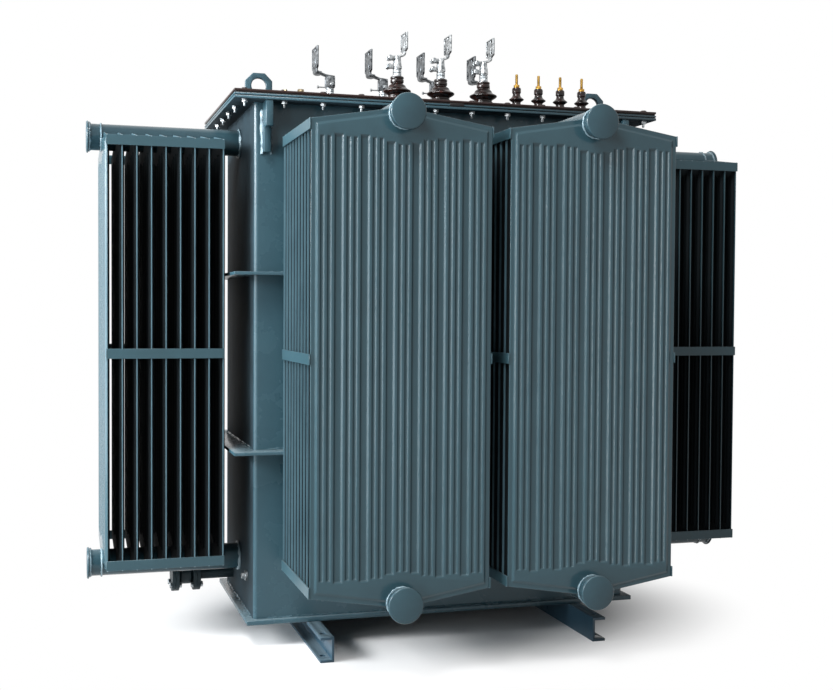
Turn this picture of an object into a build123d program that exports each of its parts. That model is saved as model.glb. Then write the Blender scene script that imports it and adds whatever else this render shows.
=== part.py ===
from build123d import *
import os

# Oil-filled furnace transformer, millimetres.
# X is along the long side, -Y is the side with the terminals nearest to it, +Z is up.
# The origin is at the middle of the footprint, on the floor.

# Tank
tank_width = 1250.0
tank_depth = 580.0
tank_wall_height = 1583.0
tank_corner_radius = 14.0
base_thickness = 14.0
base_overhang = 22.0

# Rim flange, gasket and cover
rim_overhang = 70.0
rim_thickness = 16.0
gasket_thickness = 5.0
gasket_setback = 3.0
gasket_width = 66.0
cover_thickness = 7.0

# Stiffening ribs, flat bars wrapped round the tank
rib_projection = 68.0
rib_thickness = 10.0
upper_rib_height = 1146.0
lower_rib_height = 602.0

# Skids, two channels under the base
skid_height = 75.0
skid_flange_width = 42.0
skid_web = 7.0
skid_flange_thickness = 8.0
skid_setback = 229.0
skid_length = 1010.0
skid_hole_radius = 9.0
skid_hole_setback = 50.0
skid_hole_from_web = 24.0

# Cooling panels of the radiators
panel_width = 520.0
panel_side_height = 1304.0
panel_peak_rise = 41.0
panel_middle_height = 907.5
panel_pitch = 43.0
front_panel_count = 10
side_panel_count = 9
front_gap = 86.0
side_gap = 88.0
radiator_gap = 56.0
seam_thickness = 3.0
seam_width = 17.0
channel_thickness = 14.0

# Flutes of the outermost panel, parted by valleys and lined by grooves
flute_count = 7
valley_width = 26.0
valley_end_setback = 39.0
grooves_per_flute = 2
groove_pitch = 20.0
groove_width = 12.5
groove_depth = 3.5
groove_end_setback = 6.0
press_slope = 5.5
disc_clearance = 27.5

# Header pipes with their end discs
header_pitch = 1352.0
header_radius = 41.5
header_reach = 38.0
header_sides = 16
end_disc_radius = 50.5
end_disc_thickness = 8.0

# Edge bars across the panel edges
bar_height = 30.0
bar_thickness = 4.0
bar_edge_setback = 4.0

# Lifting hooks on the tank and eyes on the cover
hook_thickness = 22.0
hook_setback = 37.0
hook_projection = 66.0
hook_foot_projection = 26.0
hook_height = 152.0
hook_nose_height = 78.0
eye_end_setback = 115.0
eye_front_setback = 260.0
eye_width = 86.0
eye_height = 96.0
eye_chamfer = 24.0
eye_thickness = 18.0
eye_hole_radius = 24.0
eye_hole_height = 56.0

# Rows of bushings, the same way in from the long edges of the cover
row_setback = 200.0
turned_sides = 12
shed_underside = 6.0
shed_edge = 3.0
foot_margin = 12.0
foot_height = 10.0

# Large bushings in the front row
front_pitch = 149.0
front_small_gap = 118.5
front_count = 3
front_porcelain_height = 101.0
front_base_radius = 32.0
front_shed_radius = 46.0
front_shed_height = 58.0
front_neck_radius = 19.0
front_cap_radius = 22.0
front_cap_height = 20.0

# Terminals of the front row
stem_nut_radius = 15.0
front_stem_height = 25.0
clamp_radius = 15.5
clamp_top_radius = 10.0
clamp_height = 44.0
clamp_collar = 8.0
front_arm_width = 22.0
front_arm_thickness = 11.0
front_arm_overlap = 9.0
front_arm_rise = 6.0
front_neck_height = 7.0
front_flag_shift = 24.0
front_flag_width = 68.0
front_flag_height = 58.0
flag_thickness = 7.0
front_flag_hole_radius = 5.5
front_flag_hole_spacing = 38.0

# Bushings and terminals of the rear row
rear_pitch = 190.0
rear_middle = -3.0
rear_count = 4
rear_porcelain_height = 84.0
rear_shed_height = 45.0
rear_stem_height = 25.0
rear_clamp_width = 32.0
rear_clamp_depth = 32.0
rear_clamp_height = 42.0
rear_arm_width = 24.0
rear_arm_thickness = 8.0
rear_arm_overlap = 5.0
rear_arm_rise = 9.0
rear_neck_height = 8.0
rear_flag_shift = -52.0
rear_flag_width = 84.0
rear_flag_height = 76.0
rear_flag_hole_radius = 7.0
rear_flag_hole_spacing = 50.0

# Small bushings with brass studs
small_pitch = 79.0
small_end_setback = 178.5
small_count = 4
small_porcelain_height = 90.0
small_base_radius = 20.0
small_shed_radius = 25.0
small_shed_height = 53.0
small_neck_radius = 12.5
small_cap_radius = 15.0
small_cap_height = 18.0
stud_radius = 5.0
stud_length = 44.0
nut_radius = 11.0
nut_height = 9.0

# Drain valve on the left wall
valve_setback = 140.0
valve_height = 148.0
valve_pipe_radius = 21.0
valve_flange_radius = 56.0
valve_flange_thickness = 12.0
valve_body_radius = 34.0
valve_body_length = 46.0
valve_pipe_length = 112.0

os.makedirs("parts", exist_ok=True)

# Levels, from the floor up
base_level = skid_height
tank_level = base_level + base_thickness
rim_level = tank_level + tank_wall_height
gasket_level = rim_level + rim_thickness
cover_level = gasket_level + gasket_thickness
cover_top = cover_level + cover_thickness

# Outline of the rim flange and the cover
rim_width = tank_width + 2 * rim_overhang
rim_depth = tank_depth + 2 * rim_overhang

upright = (Align.CENTER, Align.CENTER, Align.MIN)


def save(shape, node):
    """Write one sub-part to its own file."""
    export_step(shape, f"parts/{node}.step")


def slab(width, depth, height, level, radius=0.0):
    """A flat plate lying level, centred on the origin, its underside at level."""
    outline = RectangleRounded(width, depth, radius) if radius else Rectangle(width, depth)
    return Pos(0, 0, level) * extrude(outline, amount=height)


def hoop(overhang, height, level):
    """A flat bar wrapped round the tank, overhanging its walls."""
    outer = Rectangle(tank_width + 2 * overhang, tank_depth + 2 * overhang)
    return Pos(0, 0, level) * extrude(outer - Rectangle(tank_width, tank_depth), amount=height)


# Tank, base, rim and cover
tank_body = slab(
    tank_width, tank_depth, gasket_level - tank_level, tank_level, tank_corner_radius
)
base_plate = slab(
    tank_width + 2 * base_overhang, tank_depth + 2 * base_overhang, base_thickness, base_level
)
rim_flange = hoop(rim_overhang, rim_thickness, rim_level)
gasket_length = rim_width - 2 * gasket_setback
gasket_depth = rim_depth - 2 * gasket_setback
gasket_hollow = Rectangle(gasket_length - 2 * gasket_width, gasket_depth - 2 * gasket_width)
gasket_outline = Rectangle(gasket_length, gasket_depth) - gasket_hollow
cover_gasket = Pos(0, 0, gasket_level) * extrude(gasket_outline, amount=gasket_thickness)
cover_plate = slab(rim_width, rim_depth, cover_thickness, cover_level)
save(tank_body, "tank_body")
save(base_plate, "base_plate")
save(rim_flange, "rim_flange")
save(cover_gasket, "cover_gasket")
save(cover_plate, "cover_plate")
save(hoop(rib_projection, rib_thickness, upper_rib_height), "upper_rib")
save(hoop(rib_projection, rib_thickness, lower_rib_height), "lower_rib")


def skid():
    """One channel along Y, its web at X = 0 and its flanges towards +X."""
    section = Rectangle(skid_flange_width, skid_height, align=(Align.MIN, Align.MIN))
    hollow_width = skid_flange_width - skid_web
    hollow_height = skid_height - 2 * skid_flange_thickness
    hollow = Rectangle(hollow_width, hollow_height, align=(Align.MIN, Align.MIN))
    section -= Pos(skid_web, skid_flange_thickness) * hollow
    channel = extrude(Plane.XZ * section, amount=skid_length / 2, both=True)
    bolt_hole = Cylinder(skid_hole_radius, skid_flange_thickness, align=upright)
    access_hole = extrude(RegularPolygon(skid_hole_radius, 8), amount=skid_flange_thickness)
    for end in (-1, 1):
        place = Pos(skid_hole_from_web, end * (skid_length / 2 - skid_hole_setback), 0)
        channel -= place * bolt_hole
        channel -= place * Pos(0, 0, skid_height - skid_flange_thickness) * access_hole
    return channel


skid_web_offset = tank_width / 2 + base_overhang - skid_setback
skid_right = Pos(skid_web_offset, 0, 0) * skid()
save(skid_right, "skid_right")
save(mirror(skid_right, about=Plane.YZ), "skid_left")


def panel_outline(inset):
    """Six-sided outline of a panel with pointed ends, in X and Z, centred on the panel."""
    half_width = panel_width / 2 - inset
    half_height = panel_side_height / 2 - inset
    peak = half_height + panel_peak_rise * half_width / (panel_width / 2)
    return Polygon(
        (-half_width, -half_height),
        (0, -peak),
        (half_width, -half_height),
        (half_width, half_height),
        (0, peak),
        (-half_width, half_height),
        align=None,
    )


def notched(outline):
    """The outline less a square notch at each peak, which the header pipe touches on three sides."""
    for side in (-1, 1):
        outline -= Pos(0, side * header_pitch / 2) * Rectangle(2 * header_radius, 2 * header_radius)
    return outline


def inner_panel():
    """One plain pressed panel in the XZ plane, with the header pipes running through its peaks."""
    return extrude(Plane.XZ * notched(panel_outline(0)), amount=channel_thickness / 2, both=True)


def seamed_panel():
    """A panel with a thin seam round the thicker field of oil channels."""
    sheet = extrude(Plane.XZ * notched(panel_outline(0)), amount=seam_thickness / 2, both=True)
    field = notched(panel_outline(seam_width))
    return sheet + extrude(Plane.XZ * field, amount=channel_thickness / 2, both=True)


def sunk_profile(width, depth):
    """Trapezium that narrows from its mouth at Y = 0 to its floor at the depth."""
    return Polygon(
        (-width / 2, 0),
        (width / 2, 0),
        (width / 2 - press_slope, depth),
        (-width / 2 + press_slope, depth),
        align=None,
    )


def trough(width, depth, reach):
    """Trough along Z, pressed in from a face at Y = 0, with sloping sides and ends."""
    across_plane = Plane(origin=(0, 0, 0), x_dir=(0, 0, 1), z_dir=(-1, 0, 0))
    long_bar = extrude(Plane.XY * sunk_profile(width, depth), amount=reach, both=True)
    wide_bar = extrude(across_plane * sunk_profile(2 * reach, depth), amount=width / 2, both=True)
    return long_bar & wide_bar


def outer_panel():
    """The outermost panel, with valleys between its flutes and grooves along them, facing -Y.

    The valleys reach the back sheet. Those beside the middle flute, and its grooves, end lower,
    clear of the end discs.
    """
    shape = seamed_panel()
    flute_pitch = (panel_width - 2 * seam_width + valley_width) / flute_count
    face = -channel_thickness / 2
    valley_depth = (channel_thickness - seam_thickness) / 2
    side_reach = panel_side_height / 2 - valley_end_setback
    disc_reach = header_pitch / 2 - end_disc_radius - disc_clearance
    for index in range(flute_count - 1):
        across = (index - (flute_count - 2) / 2) * flute_pitch
        reach = disc_reach if abs(across) < flute_pitch else side_reach
        shape -= Pos(across, face, 0) * trough(valley_width, valley_depth, reach)
    for index in range(flute_count):
        middle = (index - (flute_count - 1) / 2) * flute_pitch
        reach = disc_reach if abs(middle) < flute_pitch / 2 else side_reach
        for number in range(grooves_per_flute):
            across = middle + (number - (grooves_per_flute - 1) / 2) * groove_pitch
            groove = trough(groove_width, groove_depth, reach - groove_end_setback)
            shape -= Pos(across, face, 0) * groove
    return shape


inner_panel_shape = inner_panel()
outer_panel_shape = outer_panel()


def header(length):
    """One header pipe along -Y from the wall, closed by a wider disc."""
    pipe = extrude(RegularPolygon(header_radius, header_sides), amount=length)
    disc = extrude(RegularPolygon(end_disc_radius, header_sides), amount=end_disc_thickness)
    return Rot(90, 0, 0) * (pipe + Pos(0, 0, length) * disc)


def radiator(count, gap):
    """Panels, headers and edge bars of one radiator that stands out from a wall towards -Y.

    The wall is the plane Y = 0 and the middle of the panels is at Z = 0.
    """
    first = -gap
    last = first - (count - 1) * panel_pitch
    panels = [Pos(0, first - index * panel_pitch, 0) * inner_panel_shape for index in range(count - 1)]
    panels.append(Pos(0, last, 0) * outer_panel_shape)
    pipe = header(header_reach + channel_thickness / 2 - last)
    headers = [Pos(0, 0, side * header_pitch / 2) * pipe for side in (-1, 1)]
    bars = []
    bar_length = first - last + 2 * bar_edge_setback
    middle = (first + last) / 2
    bar_reach = panel_side_height / 2 - bar_height / 2
    for side in (-1, 1):
        for level in (-bar_reach, 0, bar_reach):
            place = Pos(side * (panel_width + bar_thickness) / 2, middle, level)
            bars.append(place * Box(bar_thickness, bar_length, bar_height))
    return panels, headers, bars


def place_radiator(name, sets, location):
    """Move one radiator to its wall and write its three sub-parts."""
    for shapes, kind in zip(sets, ("panels", "headers", "edge_bars")):
        save(Compound(children=[location * shape for shape in shapes]), f"{name}_{kind}")


radiator_offset = (panel_width + radiator_gap) / 2
front_sets = radiator(front_panel_count, front_gap)
side_sets = radiator(side_panel_count, side_gap)
front_wall = Pos(0, -tank_depth / 2, panel_middle_height)
side_wall = Pos(0, -tank_width / 2, panel_middle_height)
for side, word in ((-1, "left"), (1, "right")):
    place_radiator(f"front_{word}", front_sets, Pos(side * radiator_offset, 0, 0) * front_wall)
    back = Rot(0, 0, 180) * Pos(-side * radiator_offset, 0, 0) * front_wall
    place_radiator(f"back_{word}", front_sets, back)
place_radiator("left_end", side_sets, Rot(0, 0, -90) * side_wall)
place_radiator("right_end", side_sets, Rot(0, 0, 90) * side_wall)


def lifting_hook():
    """Profile in Y and Z of a hook welded to the front wall under the rim, at X = 0."""
    wall = -tank_depth / 2
    top = rim_level
    profile = Polygon(
        (wall, top),
        (wall - hook_projection, top),
        (wall - hook_projection, top - hook_nose_height),
        (wall - hook_foot_projection, top - hook_nose_height),
        (wall - hook_foot_projection, top - hook_height),
        (wall, top - hook_height),
        align=None,
    )
    return extrude(Plane.YZ * profile, amount=hook_thickness / 2, both=True)


hook_offset = tank_width / 2 - hook_setback
front_hooks = [Pos(side * hook_offset, 0, 0) * lifting_hook() for side in (-1, 1)]
back_hooks = [Rot(0, 0, 180) * hook for hook in front_hooks]
save(Compound(children=front_hooks), "front_lifting_hooks")
save(Compound(children=back_hooks), "back_lifting_hooks")


def cover_eye():
    """Upright eye plate on the cover, facing -Y."""
    half = eye_width / 2
    profile = Polygon(
        (-half, 0),
        (half, 0),
        (half, eye_height - eye_chamfer),
        (half - eye_chamfer, eye_height),
        (-half + eye_chamfer, eye_height),
        (-half, eye_height - eye_chamfer),
        align=None,
    )
    profile -= Pos(0, eye_hole_height) * Circle(eye_hole_radius)
    plate = extrude(Plane.XZ * profile, amount=eye_thickness / 2, both=True)
    return Pos(0, eye_front_setback - rim_depth / 2, cover_top) * plate


eye_offset = rim_width / 2 - eye_end_setback
cover_eyes = [Pos(side * eye_offset, 0, 0) * cover_eye() for side in (-1, 1)]
save(Compound(children=cover_eyes), "cover_eyes")


def turned(radius, height, level=0.0):
    """A round piece with flat facets, standing on the level."""
    section = RegularPolygon(radius, turned_sides, major_radius=False)
    return Pos(0, 0, level) * extrude(section, amount=height)


def porcelain(height, base, shed, shed_height, neck, cap, cap_height):
    """A turned porcelain bushing with one wide shed, standing on its steel foot."""
    cap_level = height - cap_height
    shed_level = shed_height - shed_edge - shed_underside
    skirt = turned(shed, cap_level - shed_level, shed_level)
    top = skirt.faces().sort_by(Axis.Z)[-1]
    skirt = chamfer(top.edges(), shed - neck, cap_level - shed_height, reference=top)
    bottom = skirt.faces().sort_by(Axis.Z)[0]
    skirt = chamfer(bottom.edges(), shed - base, shed_underside, reference=bottom)
    body = turned(base, shed_level - foot_height, foot_height)
    return body + skirt + turned(cap, cap_height, cap_level)


def row(count, pitch, middle, line):
    """Places of a row of bushings on the cover."""
    return [Pos(middle + (index - (count - 1) / 2) * pitch, line, cover_top) for index in range(count)]


rear_row = rim_depth / 2 - row_setback
small_reach = (small_count - 1) / 2 * small_pitch
small_middle = rim_width / 2 - small_end_setback - small_reach
front_middle = small_middle - small_reach - front_small_gap - (front_count - 1) / 2 * front_pitch
front_places = row(front_count, front_pitch, front_middle, -rear_row)
rear_places = row(rear_count, rear_pitch, rear_middle, rear_row)
small_places = row(small_count, small_pitch, small_middle, -rear_row)

front_porcelain = porcelain(
    front_porcelain_height, front_base_radius, front_shed_radius, front_shed_height,
    front_neck_radius, front_cap_radius, front_cap_height,
)
rear_porcelain = porcelain(
    rear_porcelain_height, front_base_radius, front_shed_radius, rear_shed_height,
    front_neck_radius, front_cap_radius, front_cap_height,
)
small_porcelain = porcelain(
    small_porcelain_height, small_base_radius, small_shed_radius, small_shed_height,
    small_neck_radius, small_cap_radius, small_cap_height,
)


def save_row(places, shape, node):
    """Write copies of one shape at all places of a row."""
    save(Compound(children=[place * shape for place in places]), node)


save_row(front_places, front_porcelain, "front_bushings")
save_row(rear_places, rear_porcelain, "rear_bushings")
save_row(small_places, small_porcelain, "small_bushings")


def foot(base):
    """Steel foot under a bushing, wider than its porcelain."""
    return turned(base + foot_margin, foot_height)


feet = [place * foot(front_base_radius) for place in front_places + rear_places]
feet += [place * foot(small_base_radius) for place in small_places]
save(Compound(children=feet), "bushing_feet")


def drilled_flag(width, height, hole, spacing):
    """Upright terminal flag in the YZ plane with four bolt holes, its foot at Z = 0."""
    plate = Rectangle(width, height)
    plate -= [
        Pos(across, up) * hole
        for across in (-spacing / 2, spacing / 2)
        for up in (-spacing / 2, spacing / 2)
    ]
    return Pos(0, 0, height / 2) * extrude(Plane.YZ * plate, amount=flag_thickness / 2, both=True)


def bent_arm(shift, rise, thickness, neck_height, width):
    """Arm that climbs from X = 0 to an upright neck at the shift, which carries a flag."""
    side_view = Polygon(
        (0, 0),
        (shift, rise),
        (shift, rise + thickness),
        (0, thickness),
        align=None,
    )
    arm = extrude(Plane.XZ * side_view, amount=width / 2, both=True)
    neck = Box(flag_thickness, width, thickness + neck_height, align=upright)
    return arm + Pos(shift, 0, rise) * neck


def front_terminal():
    """Nuts, tapered round clamp, arm and upright flag on a front bushing."""
    nuts = extrude(RegularPolygon(stem_nut_radius, 6), amount=front_stem_height)
    clamp = turned(clamp_radius, clamp_height, front_stem_height)
    top = clamp.faces().sort_by(Axis.Z)[-1]
    taper = clamp_radius - clamp_top_radius
    clamp = chamfer(top.edges(), taper, clamp_height - clamp_collar, reference=top)
    arm_level = front_stem_height + clamp_height - front_arm_overlap
    arm = bent_arm(
        front_flag_shift, front_arm_rise, front_arm_thickness, front_neck_height, front_arm_width
    )
    flag_level = arm_level + front_arm_rise + front_arm_thickness + front_neck_height
    flag = drilled_flag(
        front_flag_width, front_flag_height, Circle(front_flag_hole_radius), front_flag_hole_spacing
    )
    terminal = nuts + clamp + Pos(0, 0, arm_level) * arm + Pos(front_flag_shift, 0, flag_level) * flag
    return Pos(0, 0, front_porcelain_height) * terminal


def rear_terminal():
    """Nuts, block clamp, arm and upright flag on a rear bushing."""
    nuts = extrude(RegularPolygon(stem_nut_radius, 6), amount=rear_stem_height)
    clamp = Pos(0, 0, rear_stem_height) * Box(
        rear_clamp_width, rear_clamp_depth, rear_clamp_height, align=upright
    )
    arm_level = rear_stem_height + rear_clamp_height - rear_arm_overlap
    arm = bent_arm(
        rear_flag_shift, rear_arm_rise, rear_arm_thickness, rear_neck_height, rear_arm_width
    )
    flag_level = arm_level + rear_arm_rise + rear_arm_thickness + rear_neck_height
    hole = RegularPolygon(rear_flag_hole_radius, 8)
    flag = drilled_flag(rear_flag_width, rear_flag_height, hole, rear_flag_hole_spacing)
    terminal = nuts + clamp + Pos(0, 0, arm_level) * arm + Pos(rear_flag_shift, 0, flag_level) * flag
    return Pos(0, 0, rear_porcelain_height) * terminal


def brass_stud():
    """Threaded stud with a nut, on a small bushing."""
    stud = Cylinder(stud_radius, stud_length, align=upright)
    nut = extrude(RegularPolygon(nut_radius, 6), amount=nut_height)
    return Pos(0, 0, small_porcelain_height) * (stud + nut)


save_row(front_places, front_terminal(), "front_terminals")
save_row(rear_places, rear_terminal(), "rear_terminals")
save_row(small_places, brass_stud(), "small_studs")


def drain_valve():
    """Pipe stub, and two flange pairs with the body between them, out of the left wall."""
    pipe = turned(valve_pipe_radius, valve_pipe_length)
    body_start = valve_pipe_length + 2 * valve_flange_thickness
    valve = turned(valve_body_radius, valve_body_length, body_start)
    for level in (valve_pipe_length, body_start + valve_body_length):
        valve += turned(valve_flange_radius, 2 * valve_flange_thickness, level)
    place = Pos(-tank_width / 2, tank_depth / 2 - valve_setback, valve_height) * Rot(0, -90, 0)
    return place * pipe, place * valve


drain_pipe, valve_body = drain_valve()
save(drain_pipe, "drain_pipe")
save(valve_body, "drain_valve")
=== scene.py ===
"""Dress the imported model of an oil-filled furnace transformer for Blender 4.5."""

import logging
from collections.abc import Callable
from dataclasses import dataclass
from enum import Enum
from math import copysign, cos, hypot, pi, radians, sin

import bpy
from mathutils import Matrix, Vector


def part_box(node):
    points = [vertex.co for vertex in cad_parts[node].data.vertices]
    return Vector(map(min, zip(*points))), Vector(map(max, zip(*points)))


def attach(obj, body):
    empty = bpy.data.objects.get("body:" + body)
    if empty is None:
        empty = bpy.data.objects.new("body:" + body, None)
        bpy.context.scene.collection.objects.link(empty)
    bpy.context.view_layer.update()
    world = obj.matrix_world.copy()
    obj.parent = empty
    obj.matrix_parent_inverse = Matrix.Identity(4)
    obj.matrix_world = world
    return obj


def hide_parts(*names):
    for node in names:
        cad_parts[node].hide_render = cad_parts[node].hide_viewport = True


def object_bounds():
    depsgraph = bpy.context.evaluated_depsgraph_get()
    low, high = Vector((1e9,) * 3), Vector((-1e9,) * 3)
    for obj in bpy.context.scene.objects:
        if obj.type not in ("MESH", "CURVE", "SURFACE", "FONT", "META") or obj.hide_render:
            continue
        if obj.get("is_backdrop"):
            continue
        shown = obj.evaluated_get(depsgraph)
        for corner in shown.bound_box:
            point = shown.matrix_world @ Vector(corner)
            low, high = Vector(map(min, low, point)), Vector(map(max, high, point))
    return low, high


log = logging.getLogger("furnace_transformer")

Point = tuple[float, float, float]

ROOT_BODY = "root"
MM = 0.001
# Points nearer than this are merged.
MERGE_REACH = 0.00002
# Edges that turn by less than this are shaded smooth.
SMOOTH_ANGLE = radians(40)
# Edges that turn by more than this are rounded.
SHARP_ANGLE = radians(30)
# Faces that turn by less than this are one face of the CAD node.
FLAT_ANGLE = radians(2)


def linear(code: str) -> tuple[float, float, float, float]:
    """Turn an sRGB hex colour into linear light.

    Args:
        code: six hex digits, with or without a leading hash.

    Returns:
        Red, green, blue and alpha in linear light.
    """
    digits = code.lstrip("#")
    channels = [int(digits[place:place + 2], 16) / 255 for place in (0, 2, 4)]
    red, green, blue = (c / 12.92 if c <= 0.04045 else ((c + 0.055) / 1.055) ** 2.4 for c in channels)
    return red, green, blue, 1.0


def add_node(
    tree: bpy.types.NodeTree, kind: str, inputs: dict | None = None, **settings
) -> bpy.types.Node:
    """Add a shader node with its settings and links.

    Args:
        tree: the node tree it joins.
        kind: Blender's name of the node type.
        inputs: a value or an output socket for each named or numbered input.
        settings: properties of the node.

    Returns:
        The new node.
    """
    node = tree.nodes.new(kind)
    for name, value in settings.items():
        setattr(node, name, value)
    for name, value in (inputs or {}).items():
        if isinstance(value, bpy.types.NodeSocket):
            tree.links.new(value, node.inputs[name])
        else:
            node.inputs[name].default_value = value
    return node


def new_material(name: str) -> bpy.types.Material:
    """Make an empty node material.

    Args:
        name: what it is called.

    Returns:
        The new material.
    """
    material = bpy.data.materials.new(name)
    material.use_nodes = True
    material.node_tree.nodes.clear()
    return material


def colour_steps(
    tree: bpy.types.NodeTree, factor: bpy.types.NodeSocket, steps: list[tuple[float, str]]
) -> bpy.types.NodeSocket:
    """Add a colour ramp.

    Args:
        tree: the node tree it joins.
        factor: what it turns to colour.
        steps: place and hex colour of each step.

    Returns:
        Its colour.
    """
    ramp = add_node(tree, "ShaderNodeValToRGB", {"Fac": factor})
    elements = ramp.color_ramp.elements
    while len(elements) < len(steps):
        elements.new(0.5)
    for element, (place, code) in zip(elements, steps):
        element.position = place
        element.color = linear(code)
    return ramp.outputs["Color"]


def any_ray(tree: bpy.types.NodeTree, *kinds: str) -> bpy.types.NodeSocket:
    """Tell rays of some kinds from all others.

    Args:
        tree: the node tree of a material or a world.
        kinds: outputs of Light Path, such as 'Is Camera Ray'.

    Returns:
        1 for a ray of one of these kinds, and 0 for any other.
    """
    light = add_node(tree, "ShaderNodeLightPath")
    answer = light.outputs[kinds[0]]
    for kind in kinds[1:]:
        either = add_node(tree, "ShaderNodeMath", {0: answer, 1: light.outputs[kind]}, operation="MAXIMUM")
        answer = either.outputs[0]
    return answer


@dataclass(frozen=True)
class Recipe:
    """A finish whose pattern follows the place on the object."""

    name: str

    def inputs(self, tree: bpy.types.NodeTree, place: bpy.types.NodeSocket) -> dict:
        """Add the nodes of the pattern.

        Args:
            tree: the node tree of the material.
            place: where a point lies on the object.

        Returns:
            The inputs of the shader.
        """
        raise NotImplementedError

    def build(self) -> bpy.types.Material:
        """Make the material.

        Returns:
            The new material.
        """
        material = new_material(self.name)
        tree = material.node_tree
        place = add_node(tree, "ShaderNodeTexCoord").outputs["Object"]
        shader = add_node(tree, "ShaderNodeBsdfPrincipled", self.inputs(tree, place))
        add_node(tree, "ShaderNodeOutputMaterial", {"Surface": shader.outputs["BSDF"]})
        return material


@dataclass(frozen=True)
class Enamel(Recipe):
    """Gloss alkyd enamel brushed and sprayed on steel plate.

    The eye sees an even colour with faint clouding, a soft orange peel, and a film of
    pale dust on what faces up.
    """

    colour: str
    shade: str
    dust: str = "#8A979B"
    roughness: float = 0.3
    cloud_mm: float = 120.0
    peel_mm: float = 9.0
    peel_depth: float = 0.05
    gloss: float = 0.35
    dust_cover: float = 0.3

    def inputs(self, tree: bpy.types.NodeTree, place: bpy.types.NodeSocket) -> dict:
        """Add the clouds, the dust and the orange peel.

        Args:
            tree: the node tree of the material.
            place: where a point lies on the object.

        Returns:
            The inputs of the shader.
        """
        clouds = add_node(
            tree, "ShaderNodeTexNoise",
            {"Vector": place, "Scale": 1 / (self.cloud_mm * MM), "Detail": 5.0, "Roughness": 0.6},
        )
        colour = colour_steps(tree, clouds.outputs["Fac"], [(0.3, self.shade), (0.7, self.colour)])
        normal = add_node(tree, "ShaderNodeNewGeometry").outputs["Normal"]
        upward = add_node(tree, "ShaderNodeSeparateXYZ", {"Vector": normal}).outputs["Z"]
        # The dust thins out as a face gets steeper, and is gone at about 50 degrees.
        film = add_node(
            tree, "ShaderNodeMapRange",
            {"Value": upward, "From Min": 0.6, "From Max": 1.0, "To Max": self.dust_cover},
        )
        dusty = add_node(
            tree, "ShaderNodeMix",
            # Sockets 6 and 7 of a colour mix are its two colours, and output 2 is the mixed one.
            {"Factor": film.outputs["Result"], 6: colour, 7: linear(self.dust)},
            data_type="RGBA",
        )
        peel = add_node(
            tree, "ShaderNodeTexNoise", {"Vector": place, "Scale": 1 / (self.peel_mm * MM), "Detail": 2.0}
        )
        bump = add_node(
            tree, "ShaderNodeBump",
            {"Height": peel.outputs["Fac"], "Strength": self.peel_depth, "Distance": 4 * MM},
        )
        gloss = add_node(
            tree, "ShaderNodeMapRange",
            {
                "Value": clouds.outputs["Fac"],
                "To Min": self.roughness - 0.04,
                "To Max": self.roughness + 0.06,
            },
        )
        return {
            "Base Color": dusty.outputs[2],
            "Roughness": gloss.outputs["Result"],
            "Normal": bump.outputs["Normal"],
            "IOR": 1.5,
            "Specular IOR Level": self.gloss,
        }


@dataclass(frozen=True)
class CorkRubber(Recipe):
    """Nitrile rubber filled with ground cork and cut to a frame: black and matt with fine grain."""

    name: str = "cut_cork_rubber"
    # The real grain is about 1 mm, and is drawn coarser so that it shows.
    grain_mm: float = 4.0

    def inputs(self, tree: bpy.types.NodeTree, place: bpy.types.NodeSocket) -> dict:
        """Add the grain.

        Args:
            tree: the node tree of the material.
            place: where a point lies on the object.

        Returns:
            The inputs of the shader.
        """
        grain = add_node(
            tree, "ShaderNodeTexVoronoi", {"Vector": place, "Scale": 1 / (self.grain_mm * MM)}
        )
        colour = colour_steps(tree, grain.outputs["Distance"], [(0.1, "#1A1614"), (0.9, "#0C0C0C")])
        return {"Base Color": colour, "Roughness": 0.85}


@dataclass(frozen=True)
class GlazedPorcelain(Recipe):
    """Electrical porcelain under a fired manganese glaze.

    The eye sees a nearly black brown with a deep gloss, redder where the glaze runs thin.
    """

    name: str = "brown_glazed_porcelain"
    pool_mm: float = 14.0

    def inputs(self, tree: bpy.types.NodeTree, place: bpy.types.NodeSocket) -> dict:
        """Add the pools of thick and thin glaze.

        Args:
            tree: the node tree of the material.
            place: where a point lies on the object.

        Returns:
            The inputs of the shader.
        """
        pools = add_node(
            tree, "ShaderNodeTexNoise", {"Vector": place, "Scale": 1 / (self.pool_mm * MM), "Detail": 3.0}
        )
        colour = colour_steps(
            tree, pools.outputs["Fac"], [(0.35, "#090504"), (0.55, "#1C0D0A"), (0.75, "#3A1D17")]
        )
        return {"Base Color": colour, "Roughness": 0.14, "IOR": 1.55, "Specular IOR Level": 0.35}


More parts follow.
